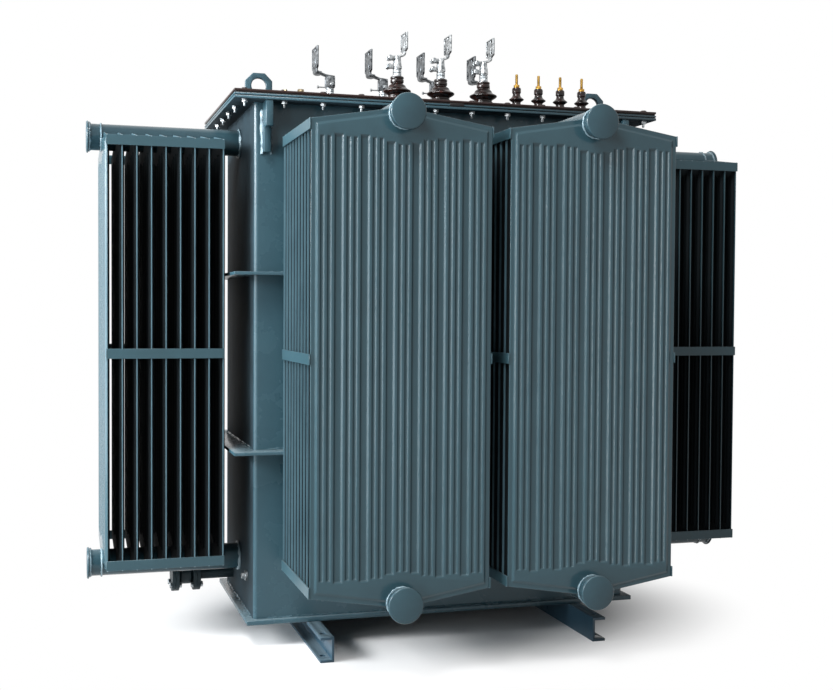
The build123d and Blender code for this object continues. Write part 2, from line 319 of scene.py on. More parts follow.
@dataclass(frozen=True)
class BareMetal(Recipe):
    """A metal with its own plating or turned surface.

    The eye sees a metallic colour, clouded by handling and oxide, with fine tool marks.
    """

    bright: str
    dull: str
    roughness: float
    cloud_mm: float = 18.0
    mark_mm: float = 2.5
    mark_depth: float = 0.15

    def inputs(self, tree: bpy.types.NodeTree, place: bpy.types.NodeSocket) -> dict:
        """Add the oxide's clouds and the tool marks.

        Args:
            tree: the node tree of the material.
            place: where a point lies on the object.

        Returns:
            The inputs of the shader.
        """
        clouds = add_node(
            tree, "ShaderNodeTexNoise", {"Vector": place, "Scale": 1 / (self.cloud_mm * MM), "Detail": 4.0}
        )
        colour = colour_steps(tree, clouds.outputs["Fac"], [(0.35, self.dull), (0.65, self.bright)])
        marks = add_node(
            tree, "ShaderNodeTexNoise", {"Vector": place, "Scale": 1 / (self.mark_mm * MM), "Detail": 2.0}
        )
        bump = add_node(
            tree, "ShaderNodeBump",
            {"Height": marks.outputs["Fac"], "Strength": self.mark_depth, "Distance": MM},
        )
        gloss = add_node(
            tree, "ShaderNodeMapRange",
            {
                "Value": clouds.outputs["Fac"],
                "To Min": self.roughness + 0.12,
                "To Max": self.roughness - 0.05,
            },
        )
        return {
            "Base Color": colour,
            "Metallic": 1.0,
            "Roughness": gloss.outputs["Result"],
            "Normal": bump.outputs["Normal"],
        }


class Finishes(Enum):
    """The finishes on this transformer, each with the record's material slot."""

    TANK = (Enamel("gloss_enamel_on_plate", "#35515B", "#304A54", roughness=0.26), "tank_paint")
    # Darker copy of the tank enamel: painted shade under the rim and on the ends behind the radiators.
    TANK_END = (
        Enamel("rough_enamel_darkened_as_painted_shade", "#26373F", "#18242A", roughness=0.8, gloss=0.2),
        "tank_paint",
    )
    RADIATOR = (
        Enamel(
            "gloss_enamel_on_pressed_sheet", "#324E57", "#2E4952",
            roughness=0.18, peel_mm=6.0, peel_depth=0.08, gloss=0.4,
        ),
        "radiator_paint",
    )
    # Lighter copy of the radiator enamel: painted highlight on the seams that catch the light from the left.
    SEAM_EDGE = (
        Enamel("lighter_enamel_painted_highlight_on_seams", "#57747F", "#4B6671", peel_depth=0.02),
        "radiator_paint",
    )
    # Near-black enamel: painted shade inside the radiator banks, between the panels and behind the outer
    # one.
    INNER_SHEET = (
        Enamel(
            "near_black_enamel_painted_shade_inside_banks", "#11191D", "#0B1114",
            dust="#1A2226", roughness=0.8, gloss=0.15,
        ),
        "radiator_paint",
    )
    HEADER = (Enamel("gloss_enamel_on_pipe", "#324D56", "#2C444D", roughness=0.24), "header_paint")
    EDGE_BAR = (
        Enamel("gloss_enamel_on_flat_bar", "#334E57", "#304951", peel_mm=40.0, peel_depth=0.01),
        "edge_bar_paint",
    )
    SKID = (Enamel("gloss_enamel_on_channel", "#2E4857", "#28404E", roughness=0.28), "skid_paint")
    VALVE = (Enamel("enamel_on_cast_iron", "#22343A", "#17252A", roughness=0.45, gloss=0.25), "valve_paint")
    COVER = (Enamel("brown_enamel_on_plate", "#2A1612", "#1A0D0B", dust="#33211D"), "cover_enamel")
    FOOT = (Enamel("gloss_enamel_on_pressed_foot", "#35515B", "#304A54"), "foot_steel")
    # Much lighter than the enamel round it: painted highlight for the glints on the weld beads.
    WELD = (
        Enamel(
            "light_enamel_painted_highlight_on_weld_bead", "#8FA5AE", "#5F7883",
            roughness=0.16, peel_mm=4.0, peel_depth=0.6, gloss=0.5,
        ),
        "tank_paint",
    )
    GASKET = (CorkRubber(), "gasket_rubber")
    PORCELAIN = (GlazedPorcelain(), "brown_porcelain")
    TINNED = (
        BareMetal("tinned_copper_casting", "#CDD0D1", "#63686B", 0.42, cloud_mm=9.0, mark_depth=0.2),
        "tinned_copper",
    )
    # A darker copy of the tinned copper, for the rear terminals.
    WEATHERED = (
        BareMetal("darker_tinned_casting", "#8C9093", "#303437", 0.42, cloud_mm=11.0, mark_depth=0.2),
        "tinned_copper",
    )
    ZINC = (BareMetal("zinc_plated_steel", "#C4C8CA", "#7C8387", 0.34, cloud_mm=9.0), "tinned_copper")
    YELLOW_ZINC = (BareMetal("yellow_passivated_zinc", "#A3957A", "#5A5140", 0.45), "stud_brass")
    # Dark metal on the walls of the flags' bolt holes: painted shade inside the holes.
    TARNISH = (BareMetal("darkened_hole_wall_painted_shade", "#3A3C3D", "#1C1D1E", 0.6), "tinned_copper")
    BRASS = (BareMetal("turned_brass", "#D8B060", "#946F2C", 0.26), "stud_brass")

    @property
    def slot(self) -> str:
        """Name of the record's material slot."""
        return self.value[1]

    def material(self) -> bpy.types.Material:
        """The material, made the first time that it is asked for."""
        recipe = self.value[0]
        return bpy.data.materials.get(recipe.name) or recipe.build()


def deselect_all() -> None:
    """Leave edit mode and deselect every object."""
    if bpy.context.mode != "OBJECT":
        bpy.ops.object.mode_set(mode="OBJECT")
    bpy.ops.object.select_all(action="DESELECT")


def make_active(piece: bpy.types.Object) -> None:
    """Select one object alone and make it active.

    Args:
        piece: the object.
    """
    deselect_all()
    piece.select_set(True)
    bpy.context.view_layer.objects.active = piece


def edit_chosen(piece: bpy.types.Object) -> None:
    """Enter edit mode with the faces that code has selected still selected.

    Args:
        piece: the piece to shape.
    """
    make_active(piece)
    bpy.ops.object.mode_set(mode="EDIT")
    bpy.ops.mesh.select_mode(type="FACE")


def edit_all(piece: bpy.types.Object) -> None:
    """Enter edit mode with all of a piece selected.

    Args:
        piece: the piece to shape.
    """
    make_active(piece)
    bpy.ops.object.mode_set(mode="EDIT")
    bpy.ops.mesh.select_all(action="SELECT")


def leave_edit() -> None:
    """Go back to object mode."""
    bpy.ops.object.mode_set(mode="OBJECT")


def settle() -> bpy.types.Object:
    """Put the place of the primitive just added into its mesh, and return it."""
    bpy.ops.object.transform_apply(location=True, rotation=True, scale=True)
    return bpy.context.active_object


def apply_modifier(piece: bpy.types.Object, kind: str, **settings) -> None:
    """Add a modifier with its settings and apply it.

    Args:
        piece: the object it shapes.
        kind: Blender's name of the modifier type.
        settings: properties of the modifier.
    """
    make_active(piece)
    modifier = piece.modifiers.new(kind.title(), kind)
    for name, value in settings.items():
        setattr(modifier, name, value)
    bpy.ops.object.modifier_apply(modifier=modifier.name)


def soften(piece: bpy.types.Object, width: float, segments: int = 2) -> None:
    """Round the sharp edges of a piece and shade its soft ones smooth.

    Args:
        piece: the object to soften.
        width: how wide the rounding is, in metres.
        segments: steps across the rounding.
    """
    apply_modifier(
        piece, "BEVEL", width=width, segments=segments, limit_method="ANGLE",
        angle_limit=SHARP_ANGLE, harden_normals=False,
    )
    make_active(piece)
    bpy.ops.object.shade_smooth_by_angle(angle=SMOOTH_ANGLE)


def close_up(piece: bpy.types.Object) -> None:
    """Merge doubled points and turn all faces outwards.

    Args:
        piece: the piece to close.
    """
    edit_all(piece)
    bpy.ops.mesh.remove_doubles(threshold=MERGE_REACH)
    bpy.ops.mesh.normals_make_consistent(inside=False)
    leave_edit()


def block(low: Point, high: Point, rounding: float) -> bpy.types.Object:
    """Model a rectangular bar or plate with rounded edges.

    Args:
        low: its lowest corner, in metres.
        high: its highest corner.
        rounding: width of its rounded edges.

    Returns:
        The new object, its place in its mesh.
    """
    deselect_all()
    middle = (Vector(low) + Vector(high)) / 2
    bpy.ops.mesh.primitive_cube_add(size=1, location=middle, scale=Vector(high) - Vector(low))
    piece = settle()
    soften(piece, rounding)
    return piece


def turn(profile: list[tuple[float, float]], sides: int = 32) -> bpy.types.Object:
    """Model a turned piece up +Z by extruding and scaling a disc along its profile.

    Args:
        profile: radius and height of each step, in metres.
        sides: facets round it.

    Returns:
        The new object, closed at both ends.
    """
    deselect_all()
    radius, level = profile[0]
    bpy.ops.mesh.primitive_circle_add(
        vertices=sides, radius=radius, fill_type="NGON", location=(0, 0, level)
    )
    piece = settle()
    bpy.ops.object.mode_set(mode="EDIT")
    bpy.ops.mesh.select_mode(type="FACE")
    bpy.ops.mesh.select_all(action="SELECT")
    for next_radius, next_level in profile[1:]:
        bpy.ops.mesh.extrude_region_move(TRANSFORM_OT_translate={"value": (0, 0, next_level - level)})
        ratio = next_radius / radius
        bpy.ops.transform.resize(value=(ratio, ratio, 1), center_override=(0, 0, next_level))
        radius, level = next_radius, next_level
    bpy.ops.mesh.select_all(action="SELECT")
    bpy.ops.mesh.normals_make_consistent(inside=False)
    leave_edit()
    bpy.ops.object.shade_smooth_by_angle(angle=SMOOTH_ANGLE)
    return piece


def hexagon(across: float, low: float, high: float) -> bpy.types.Object:
    """Model a hexagon nut or bolt head round +Z.

    Args:
        across: width across its flats, in metres.
        low: height of its lower face.
        high: height of its upper face.

    Returns:
        The new object.
    """
    radius = across / 2 / cos(pi / 6)
    crown = 0.9 * radius
    lift = 0.12 * (high - low)
    return turn([(crown, low), (radius, low + lift), (radius, high - lift), (crown, high)], sides=6)


def bend_strip(
    steps: list[tuple[float, float, float]], thickness: float, rounding: float
) -> bpy.types.Object:
    """Bend a flat strip along a path in the XZ plane, and round its edges.

    Args:
        steps: X, Z and width of each line across the strip, in metres.
        thickness: thickness of the strip.
        rounding: width of its rounded edges.

    Returns:
        The new object.
    """
    deselect_all()
    x, z, width = steps[0]
    bpy.ops.mesh.primitive_plane_add(size=1, location=(x, 0, z))
    piece = settle()
    bpy.ops.object.mode_set(mode="EDIT")
    bpy.ops.mesh.select_mode(type="EDGE")
    bpy.ops.mesh.select_all(action="SELECT")
    # The plane is squeezed to the strip's first line, and that line is then drawn along the path.
    bpy.ops.transform.resize(value=(0, width, 1), center_override=(x, 0, z))
    bpy.ops.mesh.remove_doubles(threshold=0.0001)
    for next_x, next_z, next_width in steps[1:]:
        bpy.ops.mesh.extrude_edges_move(TRANSFORM_OT_translate={"value": (next_x - x, 0, next_z - z)})
        bpy.ops.transform.resize(value=(1, next_width / width, 1), center_override=(next_x, 0, next_z))
        x, z, width = next_x, next_z, next_width
    bpy.ops.mesh.select_all(action="SELECT")
    bpy.ops.mesh.normals_make_consistent(inside=False)
    leave_edit()
    apply_modifier(piece, "SOLIDIFY", thickness=thickness, offset=0.0, use_even_offset=True)
    close_up(piece)
    soften(piece, rounding)
    return piece


def cut_away(piece: bpy.types.Object, cutter: bpy.types.Object) -> None:
    """Cut the shape of one object out of a piece, and take the cutter away.

    Args:
        piece: what is cut.
        cutter: the shape that is cut out.
    """
    apply_modifier(piece, "BOOLEAN", object=cutter, operation="DIFFERENCE", solver="EXACT")
    bpy.data.objects.remove(cutter)


def drill(piece: bpy.types.Object, centre: Point, radius: float, depth: float) -> None:
    """Cut one round hole along X right through a piece.

    Args:
        piece: what is drilled.
        centre: middle of the hole, in metres.
        radius: its radius.
        depth: length of the drill, more than the piece is thick.
    """
    drill_bit = turn([(radius, -depth / 2), (radius, depth / 2)], sides=20)
    drill_bit.data.transform(Matrix.Translation(centre) @ Heading.RIGHT.turned())
    cut_away(piece, drill_bit)


def weld_ring(radius: float, bead: float, seed: int) -> bpy.types.Object:
    """Model an uneven weld bead round +Z.

    Args:
        radius: radius of the pipe it goes round, in metres.
        bead: radius of the bead.
        seed: which of its uneven shapes it takes.

    Returns:
        The new object.
    """
    deselect_all()
    bpy.ops.mesh.primitive_torus_add(
        major_radius=radius, minor_radius=bead, major_segments=40, minor_segments=8
    )
    piece = bpy.context.active_object
    roughen(piece, bead * 0.35, seed)
    return piece


def weld_run(start: Point, end: Point, bead: float, seed: int) -> bpy.types.Object:
    """Model an uneven straight weld bead between two points.

    Args:
        start: where it starts, in metres.
        end: where it ends.
        bead: its radius.
        seed: which of its uneven shapes it takes.

    Returns:
        The new object.
    """
    line = Vector(end) - Vector(start)
    # The ripples lie a little less than the bead's width apart, and every second one is lower.
    steps = max(4, int(line.length / (bead * 1.6)))
    profile = [(bead * (0.8 + 0.2 * (step % 2)), line.length * step / steps) for step in range(steps + 1)]
    piece = turn(profile, sides=8)
    roughen(piece, bead * 0.3, seed)
    place = Matrix.Translation(start) @ line.to_track_quat("Z", "Y").to_matrix().to_4x4()
    piece.data.transform(place)
    return piece


def roughen(piece: bpy.types.Object, amount: float, seed: int) -> None:
    """Push the points of a weld bead about at random, and smooth it.

    Args:
        piece: the bead.
        amount: how far a point may go, in metres.
        seed: which of its uneven shapes it takes.
    """
    edit_all(piece)
    bpy.ops.transform.vertex_random(offset=amount, uniform=0.6, normal=0.6, seed=seed)
    leave_edit()
    bpy.ops.object.shade_smooth()


def duplicate(piece: bpy.types.Object, place: Matrix) -> bpy.types.Object:
    """Copy a piece with a mesh of its own.

    Args:
        piece: what is copied.
        place: the matrix that moves the copy.

    Returns:
        The copy.
    """
    twin = piece.copy()
    twin.data = piece.data.copy()
    twin.data.transform(place)
    bpy.context.collection.objects.link(twin)
    return twin


def repeat(piece: bpy.types.Object, places: list[Matrix]) -> list[bpy.types.Object]:
    """Copy a piece to each place and take the first one away.

    Args:
        piece: what is copied.
        places: the matrix that moves each copy.

    Returns:
        The copies.
    """
    twins = [duplicate(piece, place) for place in places]
    bpy.data.objects.remove(piece)
    return twins


def shift(x: float, y: float, z: float) -> Matrix:
    """A matrix that only moves."""
    return Matrix.Translation((x, y, z))


class Heading(Enum):
    """A way in which a piece that is made up +Z can be laid, with its turn in degrees."""

    RIGHT = (90.0, "Y")
    LEFT = (-90.0, "Y")
    FRONT = (90.0, "X")

    def turned(self) -> Matrix:
        """The matrix that lays a piece this way."""
        degrees, axis = self.value
        return Matrix.Rotation(radians(degrees), 4, axis)


def weld_together(
    name: str, pieces: list[bpy.types.Object], finish: Finishes, nodes: tuple[str, ...] = ()
) -> bpy.types.Object:
    """Join pieces into one, give it its finish, and let it ride and replace nodes.

    Args:
        name: name of the joined piece.
        pieces: what it is made of.
        finish: its material.
        nodes: the nodes that it stands for.

    Returns:
        The finished object.
    """
    deselect_all()
    for piece in pieces:
        piece.select_set(True)
    bpy.context.view_layer.objects.active = pieces[0]
    if len(pieces) > 1:
        bpy.ops.object.join()
    joined = bpy.context.view_layer.objects.active
    joined.name = name
    joined.data.name = name
    joined.data.materials.clear()
    joined.data.materials.append(finish.material())
    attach(joined, ROOT_BODY)
    if nodes:
        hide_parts(*nodes)
    log.info("%s: %d faces", name, len(joined.data.polygons))
    return joined


def paint_faces(
    piece: bpy.types.Object, finish: Finishes, inside: Callable[[list[Vector]], bool]
) -> None:
    """Give some faces of a piece a second finish.

    Args:
        piece: the piece, with its first finish on it.
        finish: the second finish.
        inside: tells from a face's corners whether it takes the second finish.
    """
    piece.data.materials.append(finish.material())
    second = len(piece.data.materials) - 1
    vertices = piece.data.vertices
    for face in piece.data.polygons:
        if inside([vertices[index].co for index in face.vertices]):
            face.material_index = second


def copy_node(node: str) -> bpy.types.Object:
    """Make an object from a copy of a CAD node's mesh.

    Args:
        node: the node, which is left alone.

    Returns:
        The new object.
    """
    piece = bpy.data.objects.new(f"{node}_copy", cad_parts[node].data.copy())
    bpy.context.collection.objects.link(piece)
    return piece


def stack_plates(
    node: str, layers: list[tuple[float, float, float, Finishes]], rounding: float
) -> None:
    """Replace a plate by thinner ones that lie on each other.

    Args:
        node: the node to copy.
        layers: lowest and highest share of its height, setback of the edge in metres, and finish.
        rounding: width of the rounded edges, in metres.
    """
    low, high = (Vector(corner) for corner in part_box(node))
    middle, size = (low + high) / 2, high - low
    for number, (start, end, setback, finish) in enumerate(layers):
        scale = Matrix.Diagonal((1 - 2 * setback / size.x, 1 - 2 * setback / size.y, end - start, 1))
        lift = shift(middle.x, middle.y, low.z + (start + end) / 2 * size.z)
        piece = copy_node(node)
        piece.data.transform(lift @ scale @ Matrix.Translation(-middle))
        close_up(piece)
        soften(piece, rounding, 1)
        weld_together(f"{node}_plate_{number + 1}", [piece], finish, (node,) if number == 0 else ())


def rounded_copy(
    node: str, finish: Finishes, width: float, segments: int = 2
) -> bpy.types.Object:
    """Replace a node by a copy of itself with merged faces and rounded edges.

    Args:
        node: the node to copy.
        finish: material of the copy.
        width: width of its rounded edges, in metres.
        segments: steps across the rounding.

    Returns:
        The finished object.
    """
    piece = copy_node(node)
    edit_all(piece)
    bpy.ops.mesh.remove_doubles(threshold=MERGE_REACH)
    bpy.ops.mesh.dissolve_limited(angle_limit=FLAT_ANGLE)
    leave_edit()
    soften(piece, width, segments)
    return weld_together(f"{node}_rounded", [piece], finish, (node,))


class Side(Enum):
    """Which wall of the tank a radiator stands out from, with its turn about Z."""

    FRONT = 0.0
    BACK = 180.0
    LEFT = -90.0
    RIGHT = 90.0


@dataclass(frozen=True)
class PressedPanel:
    """A cooling panel of two pressed sheets, seam welded round its edge, in metres.

    It is modelled in the XZ plane about the origin. Each sheet is the flat of the oil channels,
    with valleys pressed in towards the other sheet between the flutes and two grooves along each.
    """

    width: float = 0.520
    side_height: float = 1.304
    peak_rise: float = 0.041
    seam_width: float = 0.012
    seam_thickness: float = 0.003
    thickness: float = 0.014
    step_slope: float = 0.006
    flutes: int = 7
    flute_pitch: float = 0.07314
    valley_width: float = 0.026
    valley_depth: float = 0.0062
    groove_pitch: float = 0.020
    groove_width: float = 0.0125
    groove_depth: float = 0.0046
    # Run of a pressed side for each metre of its depth.
    press_run: float = 0.8
    side_reach: float = 0.613
    middle_reach: float = 0.598
    groove_setback: float = 0.006
    # Outer strip of the seam, kept out of the painted shade; the lighter seam finish there is a painted
    # highlight.
    lit_edge: float = 0.0052
    bend_radius: float = 0.0016

    def valleys(self) -> list[tuple[float, float]]:
        """Lay out the valleys.

        Returns:
            Place across the panel and reach of each.
        """
        places = [(index - (self.flutes - 2) / 2) * self.flute_pitch for index in range(self.flutes - 1)]
        limit = self.flute_pitch
        return [(x, self.middle_reach if abs(x) < limit else self.side_reach) for x in places]

    def grooves(self) -> list[tuple[float, float]]:
        """Lay out the grooves.

        Returns:
            Place across the panel and reach of each.
        """
        spots = []
        for flute in range(self.flutes):
            middle = (flute - (self.flutes - 1) / 2) * self.flute_pitch
            reach = self.middle_reach if abs(middle) < self.flute_pitch / 2 else self.side_reach
            for side in (-1, 1):
                spots.append((middle + side * self.groove_pitch / 2, reach - self.groove_setback))
        return spots

    def cut(self, sheet: bpy.types.Object, point: Point, normal: Point) -> None:
        """Cut new edges into the whole sheet along a plane.

        Args:
            sheet: the sheet.
            point: a point on the plane.
            normal: the way that the plane faces.
        """
        edit_all(sheet)
        bpy.ops.mesh.bisect(plane_co=point, plane_no=normal)
        leave_edit()

    def start_field(self) -> bpy.types.Object:
        """Model the flat of the channels with its two pointed ends, facing -Y.

        Returns:
            The new sheet.
        """
        deselect_all()
        rim = self.seam_width + self.step_slope
        place = (0, -self.thickness / 2, 0)
        size = (self.width - 2 * rim, self.side_height - 2 * rim, 1)
        bpy.ops.mesh.primitive_plane_add(size=1, location=place, rotation=(pi / 2, 0, 0))
        bpy.context.active_object.scale = size
        field = settle()
        self.cut(field, (0, 0, 0), (1, 0, 0))
        reach = size[1] / 2
        for vertex in field.data.vertices:
            if abs(vertex.co.x) < MERGE_REACH:
                vertex.co.z = copysign(reach + self.peak_rise, vertex.co.z)
        return field

    def press(
        self, sheet: bpy.types.Object, troughs: list[tuple[float, float]], width: float, depth: float
    ) -> None:
        """Press troughs into the sheet, with sloping sides and ends.

        Args:
            sheet: the sheet, already cut along their edges.
            troughs: place across the panel and reach of each.
            width: their width at the top.
            depth: their depth.
        """
        half = width / 2
        for face in sheet.data.polygons:
            x, z = face.center.x, abs(face.center.z)
            face.select = any(abs(x - place) < half and z < reach for place, reach in troughs)
        edit_chosen(sheet)
        bpy.ops.mesh.inset(thickness=self.press_run * depth, depth=-depth)
        bpy.ops.mesh.select_all(action="DESELECT")
        leave_edit()

    def press_flutes(self, sheet: bpy.types.Object) -> None:
        """Press the valleys and the grooves.

        Args:
            sheet: the flat sheet.
        """
        pressings = (
            (self.valleys(), self.valley_width, self.valley_depth),
            (self.grooves(), self.groove_width, self.groove_depth),
        )
        levels = set()
        for troughs, width, _ in pressings:
            for place, reach in troughs:
                self.cut(sheet, (place - width / 2, 0, 0), (1, 0, 0))
                self.cut(sheet, (place + width / 2, 0, 0), (1, 0, 0))
                levels |= {reach, -reach}
        for level in sorted(levels):
            self.cut(sheet, (0, 0, level), (0, 0, 1))
        for troughs, width, depth in pressings:
            self.press(sheet, troughs, width, depth)

    def fold_seam(self, sheet: bpy.types.Object) -> None:
        """Step the rim of the sheet back, run it out as the flat seam, and close it at the middle.

        Args:
            sheet: the pressed sheet.
        """
        make_active(sheet)
        width = self.width / 2 - self.seam_width - self.step_slope
        height = self.side_height / 2 - self.seam_width - self.step_slope
        steps = (
            (self.step_slope, (self.thickness - self.seam_thickness) / 2),
            (self.seam_width - self.lit_edge, 0.0),
            (self.lit_edge, 0.0),
            (0.0, self.seam_thickness / 2),
        )
        bpy.ops.object.mode_set(mode="EDIT")
        bpy.ops.mesh.select_mode(type="EDGE")
        bpy.ops.mesh.select_all(action="SELECT")
        bpy.ops.mesh.region_to_loop()
        for outward, back in steps:
            bpy.ops.mesh.extrude_edges_move(TRANSFORM_OT_translate={"value": (0, back, 0)})
            ratio_x = (width + outward) / width
            ratio_z = (height + outward) / height
            bpy.ops.transform.resize(value=(ratio_x, 1, ratio_z), center_override=(0, 0, 0))
            width += outward
            height += outward
        leave_edit()

    def build(self, rounded: bool) -> bpy.types.Object:
        """Model the whole panel.

        Args:
            rounded: whether its bends are rounded, as on the panels that show their face.

        Returns:
            The new object.
        """
        panel = self.start_field()
        self.press_flutes(panel)
        edit_all(panel)
        # The cuts that part no pressing are taken out again.
        bpy.ops.mesh.dissolve_limited(angle_limit=radians(1))
        leave_edit()
        self.fold_seam(panel)
        if rounded:
            apply_modifier(
                panel, "BEVEL", width=self.bend_radius, segments=3, limit_method="ANGLE",
                angle_limit=radians(20),
            )
        apply_modifier(panel, "MIRROR", use_axis=(False, True, False), merge_threshold=0.0001)
        close_up(panel)
        bpy.ops.object.shade_smooth_by_angle(angle=radians(35 if rounded else 20))
        return panel


@dataclass
class Radiator:
    """One bank of pressed panels on two header pipes, in metres.

    It is modelled standing out from the wall Y = 0 towards -Y, and then turned to its own wall.
    """

    name: str
    side: Side
    panel_count: int
    gap: float
    across: float = 0.0
    pitch: float = 0.043
    middle_height: float = 0.9075
    header_pitch: float = 1.352
    header_radius: float = 0.0415
    header_reach: float = 0.038
    disc_radius: float = 0.0505
    disc_thickness: float = 0.008
    disc_lip: float = 0.0015
    # Each bead round a pipe has its distance from the wall, the outermost face or the disc, and its radius.
    wall_bead: tuple[float, float] = (0.003, 0.005)
    face_bead: tuple[float, float] = (0.001, 0.003)
    disc_bead: tuple[float, float] = (-0.001, 0.0045)
    # Finish of the seams of the inner panels; the lighter seam finish is a painted highlight.
    edges: Finishes = Finishes.RADIATOR
    panel: PressedPanel = PressedPanel()

    def place(self) -> Matrix:
        """Find where the radiator's own frame stands in the object.

        Returns:
            The matrix from its own frame to the object's.
        """
        reach_x, reach_y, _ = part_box("tank_body")[1]
        wall = reach_x if self.side in (Side.LEFT, Side.RIGHT) else reach_y
        turned = Matrix.Rotation(radians(self.side.value), 4, "Z")
        return turned @ shift(self.across, -wall, self.middle_height)

    @property
    def last_panel(self) -> float:
        """Distance of the outermost panel from the wall."""
        return self.gap + (self.panel_count - 1) * self.pitch

    @property
    def face(self) -> float:
        """Distance of the outermost face from the wall."""
        return self.last_panel + self.panel.thickness / 2

    def build_panels(self, plain: bpy.types.Object, rounded: bpy.types.Object) -> None:
        """Copy the panels to their places, and paint them near black inside the bank as painted shade.

        Args:
            plain: the panel whose bends are left sharp.
            rounded: the panel that shows its face.
        """
        place = self.place()
        panels = [
            duplicate(plain, place @ shift(0, -(self.gap + index * self.pitch), 0))
            for index in range(self.panel_count - 1)
        ]
        bank = weld_together(f"{self.name}_inner_panels", panels, self.edges, (f"{self.name}_panels",))
        local = place.inverted()
        step = self.panel.lit_edge - 0.0003
        reach = self.panel.width / 2 - step
        rise = self.panel.peak_rise / (self.panel.width / 2)

        def shaded(corners: list[Vector]) -> bool:
            """Tell whether a face lies within the light edge of its panel's seam, where the painted shade
            goes.

            Args:
                corners: its corners.

            Returns:
                True where all of them do.
            """
            for spot in (local @ corner for corner in corners):
                edge = self.panel.side_height / 2 - step + self.panel.peak_rise - rise * abs(spot.x)
                if abs(spot.x) > reach or abs(spot.z) > edge:
                    return False
            return True

        paint_faces(bank, Finishes.INNER_SHEET, shaded)
        outer = duplicate(rounded, place @ shift(0, -self.last_panel, 0))
        face_panel = weld_together(f"{self.name}_outer_panel", [outer], Finishes.RADIATOR)
        # The outer panel's side that faces the wall gets the painted shade too.
        middle = -self.last_panel
        paint_faces(
            face_panel, Finishes.INNER_SHEET,
            lambda corners: shaded(corners) and all((local @ corner).y > middle for corner in corners),
        )

    def build_headers(self) -> None:
        """Model both header pipes with their end discs and weld beads."""
        place = self.place() @ Heading.FRONT.turned()
        length = self.face + self.header_reach
        r, disc, lip = self.header_radius, self.disc_radius, self.disc_lip
        end = length + self.disc_thickness
        profile = [
            (r, 0.0), (r, length - lip), (r + lip, length + 0.001), (disc - lip, length + 0.002),
            (disc, length + 0.003), (disc, end - 0.004), (disc - 0.0008, end - 0.002),
            (disc - 0.002, end - 0.0007), (disc - 0.0036, end),
        ]
        rings = ((0.0, self.wall_bead), (self.face, self.face_bead), (length, self.disc_bead))
        pipes, beads = [], []
        for number, level in enumerate((-self.header_pitch / 2, self.header_pitch / 2)):
            # A step up +Z in the pipe's own frame lies along -Y in the radiator's.
            lift = place @ shift(0, level, 0)
            pipe = turn(profile, sides=48)
            pipe.data.transform(lift)
            pipes.append(pipe)
            for seed, (start, (distance, bead)) in enumerate(rings):
                ring = weld_ring(r + 0.001, bead, 7 * number + seed)
                ring.data.transform(lift @ shift(0, 0, start + distance))
                beads.append(ring)
        weld_together(f"{self.name}_header_pipes", pipes, Finishes.HEADER, (f"{self.name}_headers",))
        weld_together(f"{self.name}_header_welds", beads, Finishes.WELD)

    def build_bars(self) -> None:
        """Round the edge bars and tack them to each panel."""
        rounded_copy(f"{self.name}_edge_bars", Finishes.EDGE_BAR, 0.0006, 1)
        half = self.panel.width / 2 + 0.002
        level = self.panel.side_height / 2 - 0.001
        tacks = [
            shift(side * half, -(self.gap + index * self.pitch), end * level)
            for index in range(self.panel_count) for side in (-1, 1) for end in (-1, 1)
        ]
        tack = turn(scaled([(1.4, 0), (2.7, 1), (2.4, 2.4), (1, 3.4)]), sides=8)
        tack.data.transform(shift(0, 0, -0.0017))
        pieces = repeat(tack, [self.place() @ spot for spot in tacks])
        weld_together(f"{self.name}_tack_welds", pieces, Finishes.WELD)

    def build(self, plain: bpy.types.Object, rounded: bpy.types.Object) -> None:
        """Model and dress the whole radiator.

        Args:
            plain: the panel whose bends are left sharp.
            rounded: the panel that shows its face.
        """
        self.build_panels(plain, rounded)
        self.build_headers()
        self.build_bars()


